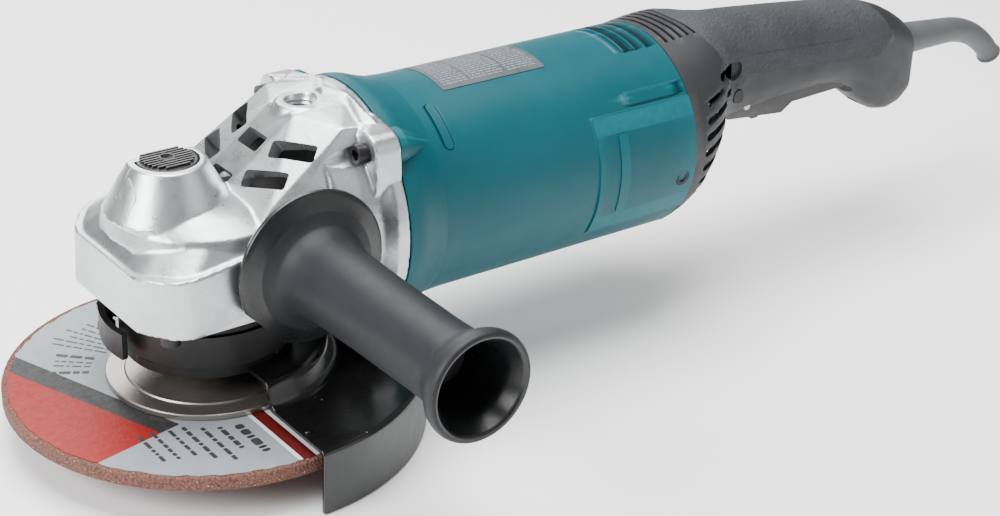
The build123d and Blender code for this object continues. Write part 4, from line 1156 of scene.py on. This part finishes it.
def makeSideHandle():
    s = sideHandleShape
    f, e = s["flange"], s["end"]
    points = [(12.0, f), (34.2, f, 0.6), (s["rimRadius"], f + 2.2, 0.9), (33.5, f + 4.0, 1.5),
              (26.5, f + 5.6, 6), (20.2, f + 11, 5),
              (18.4, f + 20, 6), (17.4, f + 42, 10), (s["waist"], e - 26, 8), (17.6, e - 15, 6),
              (21.6, e - 9.5, 3), (23.4, e - 6, 2),
              (23.8, e - 2.6, 1.6), (22.4, e, 1.6), (20.4, e - 0.9, 1.2), (16.2, e - 9, 3),
              (14.2, e - 25, 2), (12.4, e - 30, 1),
              (6.1, e - 30), (6.1, f + 4), (12.0, f + 4)]
    handle = made("sideHandle", turned(points, "y", (23, 0, motorAxis), steps=128))
    chord = pulled(plate(40, 16, 0, move(-52.2, 0, -60)), (0, 0, 120))
    chord = moved(chord, move(23, -f - 2, motorAxis) @ turn(-45, "Y"))
    cut(handle, chord)
    rounded(handle, 0.0005, 38, 2)
    done(handle, "housing", "side_handle_plastic", [finishes["sideHandleNylon"], finishes["sideHandlePaintedShade"]],
         "side_handle", angle=34)
    # the flange's faces and the inside of the hollow end take the darker copy: painted shade
    for face in handle.data.polygons:
        outward = Vector((face.center.x - 0.023, 0, face.center.z - motorAxis * 0.001))
        inside = face.center.y < -0.142 and face.normal.dot(outward) < 0
        face.material_index = 1 if inside or face.center.y > -0.0565 else 0


makeSideHandle()
softCopy("handleBolt", "side_handle_bolt", 0.6, "housing", "turned_steel", finishes["blackOxide"])
print("side handle done")


# ---- the CAD nodes that keep their shape, mostly inside

slotFinishes = {
    "bearing_steel": "groundSteel",
    "turned_steel": "turnedSteel",
    "gear_steel": "gearSteel",
    "core_laminations": "laminations",
    "copper_wire": "copperWire",
    "carbon": "carbonBlock",
    "spring_steel": "springSteel",
    "fan_plastic": "fanNylon",
    "trigger_plastic": "buttonNylon",
    "switch_plastic": "switchNylon",
    "lead_sleeve": "leadRubber",
    "black_fastener": "blackOxide",
    "zinc_screw": "zincPlate",
    "dark_shell": "darkNylon",
    "soft_grip": "softRubber",
    "teal_shell": "tealNylon",
    "guard_paint": "satinBlack",
    "cast_alloy": "castAluminium",
    "bearing_box_black": "satinBlack",
    "label_film": "labelGrey",
    "cord_rubber": "cordRubber",
    "side_handle_plastic": "sideHandleNylon",
    "abrasive": "wheelGrit",
    "wheel_paper": "greyPaper",
}
for part in frame["record"]["subparts"]:
    mesh = frame["nodes"][part["node"]].data
    finish = finishes[slotFinishes[part["material_slot"]]]
    if not mesh.materials:
        mesh.materials.append(finish)
    for i in range(len(mesh.materials)):
        mesh.materials[i] = finish
print("CAD nodes finished")


# ---- floor, light and camera

studio = {
    "floorDrop": 0.0006,
    "floorSize": 9.0,
    "world": 0.34,
    "camera": (-0.37623, -0.70302, 0.45686),
    "right": (0.80388, -0.59379, 0.03447),
    "up": (0.23878, 0.37526, 0.89563),
    "forward": (0.54475, 0.71175, -0.44346),
    "lens": 72.98,
}


def makeStudio():
    low = cadBounds[0][2]
    shape = bmesh.new()
    bmesh.ops.create_grid(shape, x_segments=1, y_segments=1, size=studio["floorSize"] / 2)
    shape.transform(move(0.2, 0, low - studio["floorDrop"]))
    mesh = bpy.data.meshes.new("floor")
    shape.to_mesh(mesh)
    shape.free()
    floor = bpy.data.objects.new("floor", mesh)
    bpy.context.scene.collection.objects.link(floor)
    material, tree, shader, place = startMaterial("paleFloor")
    tree.links.new(mixed(tree, grain(tree, place, 3), (0.90, 0.90, 0.90), (0.93, 0.93, 0.93)),
                   shader.inputs["Base Color"])
    shader.inputs["Roughness"].default_value = 0.7
    shader.inputs["Specular IOR Level"].default_value = 0.2
    mesh.materials.append(material)

    world = bpy.data.worlds.new("studio")
    world.use_nodes = True
    world.node_tree.nodes["Background"].inputs["Color"].default_value = (1.0, 1.0, 1.0, 1)
    world.node_tree.nodes["Background"].inputs["Strength"].default_value = studio["world"]
    bpy.context.scene.world = world

    lamps = {
        "topSoft": ((0.10, 0.15, 1.50), (0.15, 0.0, 0.05), 1.2, 62),
        "leftSoft": ((-1.30, -0.10, 0.90), (0.0, 0.0, 0.06), 0.8, 40),
        "rightFill": ((0.90, -1.30, 0.70), (0.20, 0.0, 0.05), 1.2, 5),
        "backRim": ((0.40, 1.40, 0.90), (0.15, 0.0, 0.10), 0.9, 16),
    }
    for name, (spot, target, size, power) in lamps.items():
        light = bpy.data.lights.new(name, "AREA")
        light.size = size
        light.energy = power
        lamp = bpy.data.objects.new(name, light)
        lamp.location = spot
        lamp.rotation_euler = (Vector(target) - Vector(spot)).to_track_quat("-Z", "Y").to_euler()
        bpy.context.scene.collection.objects.link(lamp)

    lens = bpy.data.cameras.new("camera")
    lens.lens = studio["lens"]
    lens.sensor_width = 36
    camera = bpy.data.objects.new("camera", lens)
    r, u, w = (Vector(studio[k]) for k in ("right", "up", "forward"))
    view = Matrix((r, u, -w)).transposed().to_4x4()
    camera.matrix_world = Matrix.Translation(studio["camera"]) @ view
    bpy.context.scene.collection.objects.link(camera)
    bpy.context.scene.camera = camera


makeStudio()

print("scene ready")
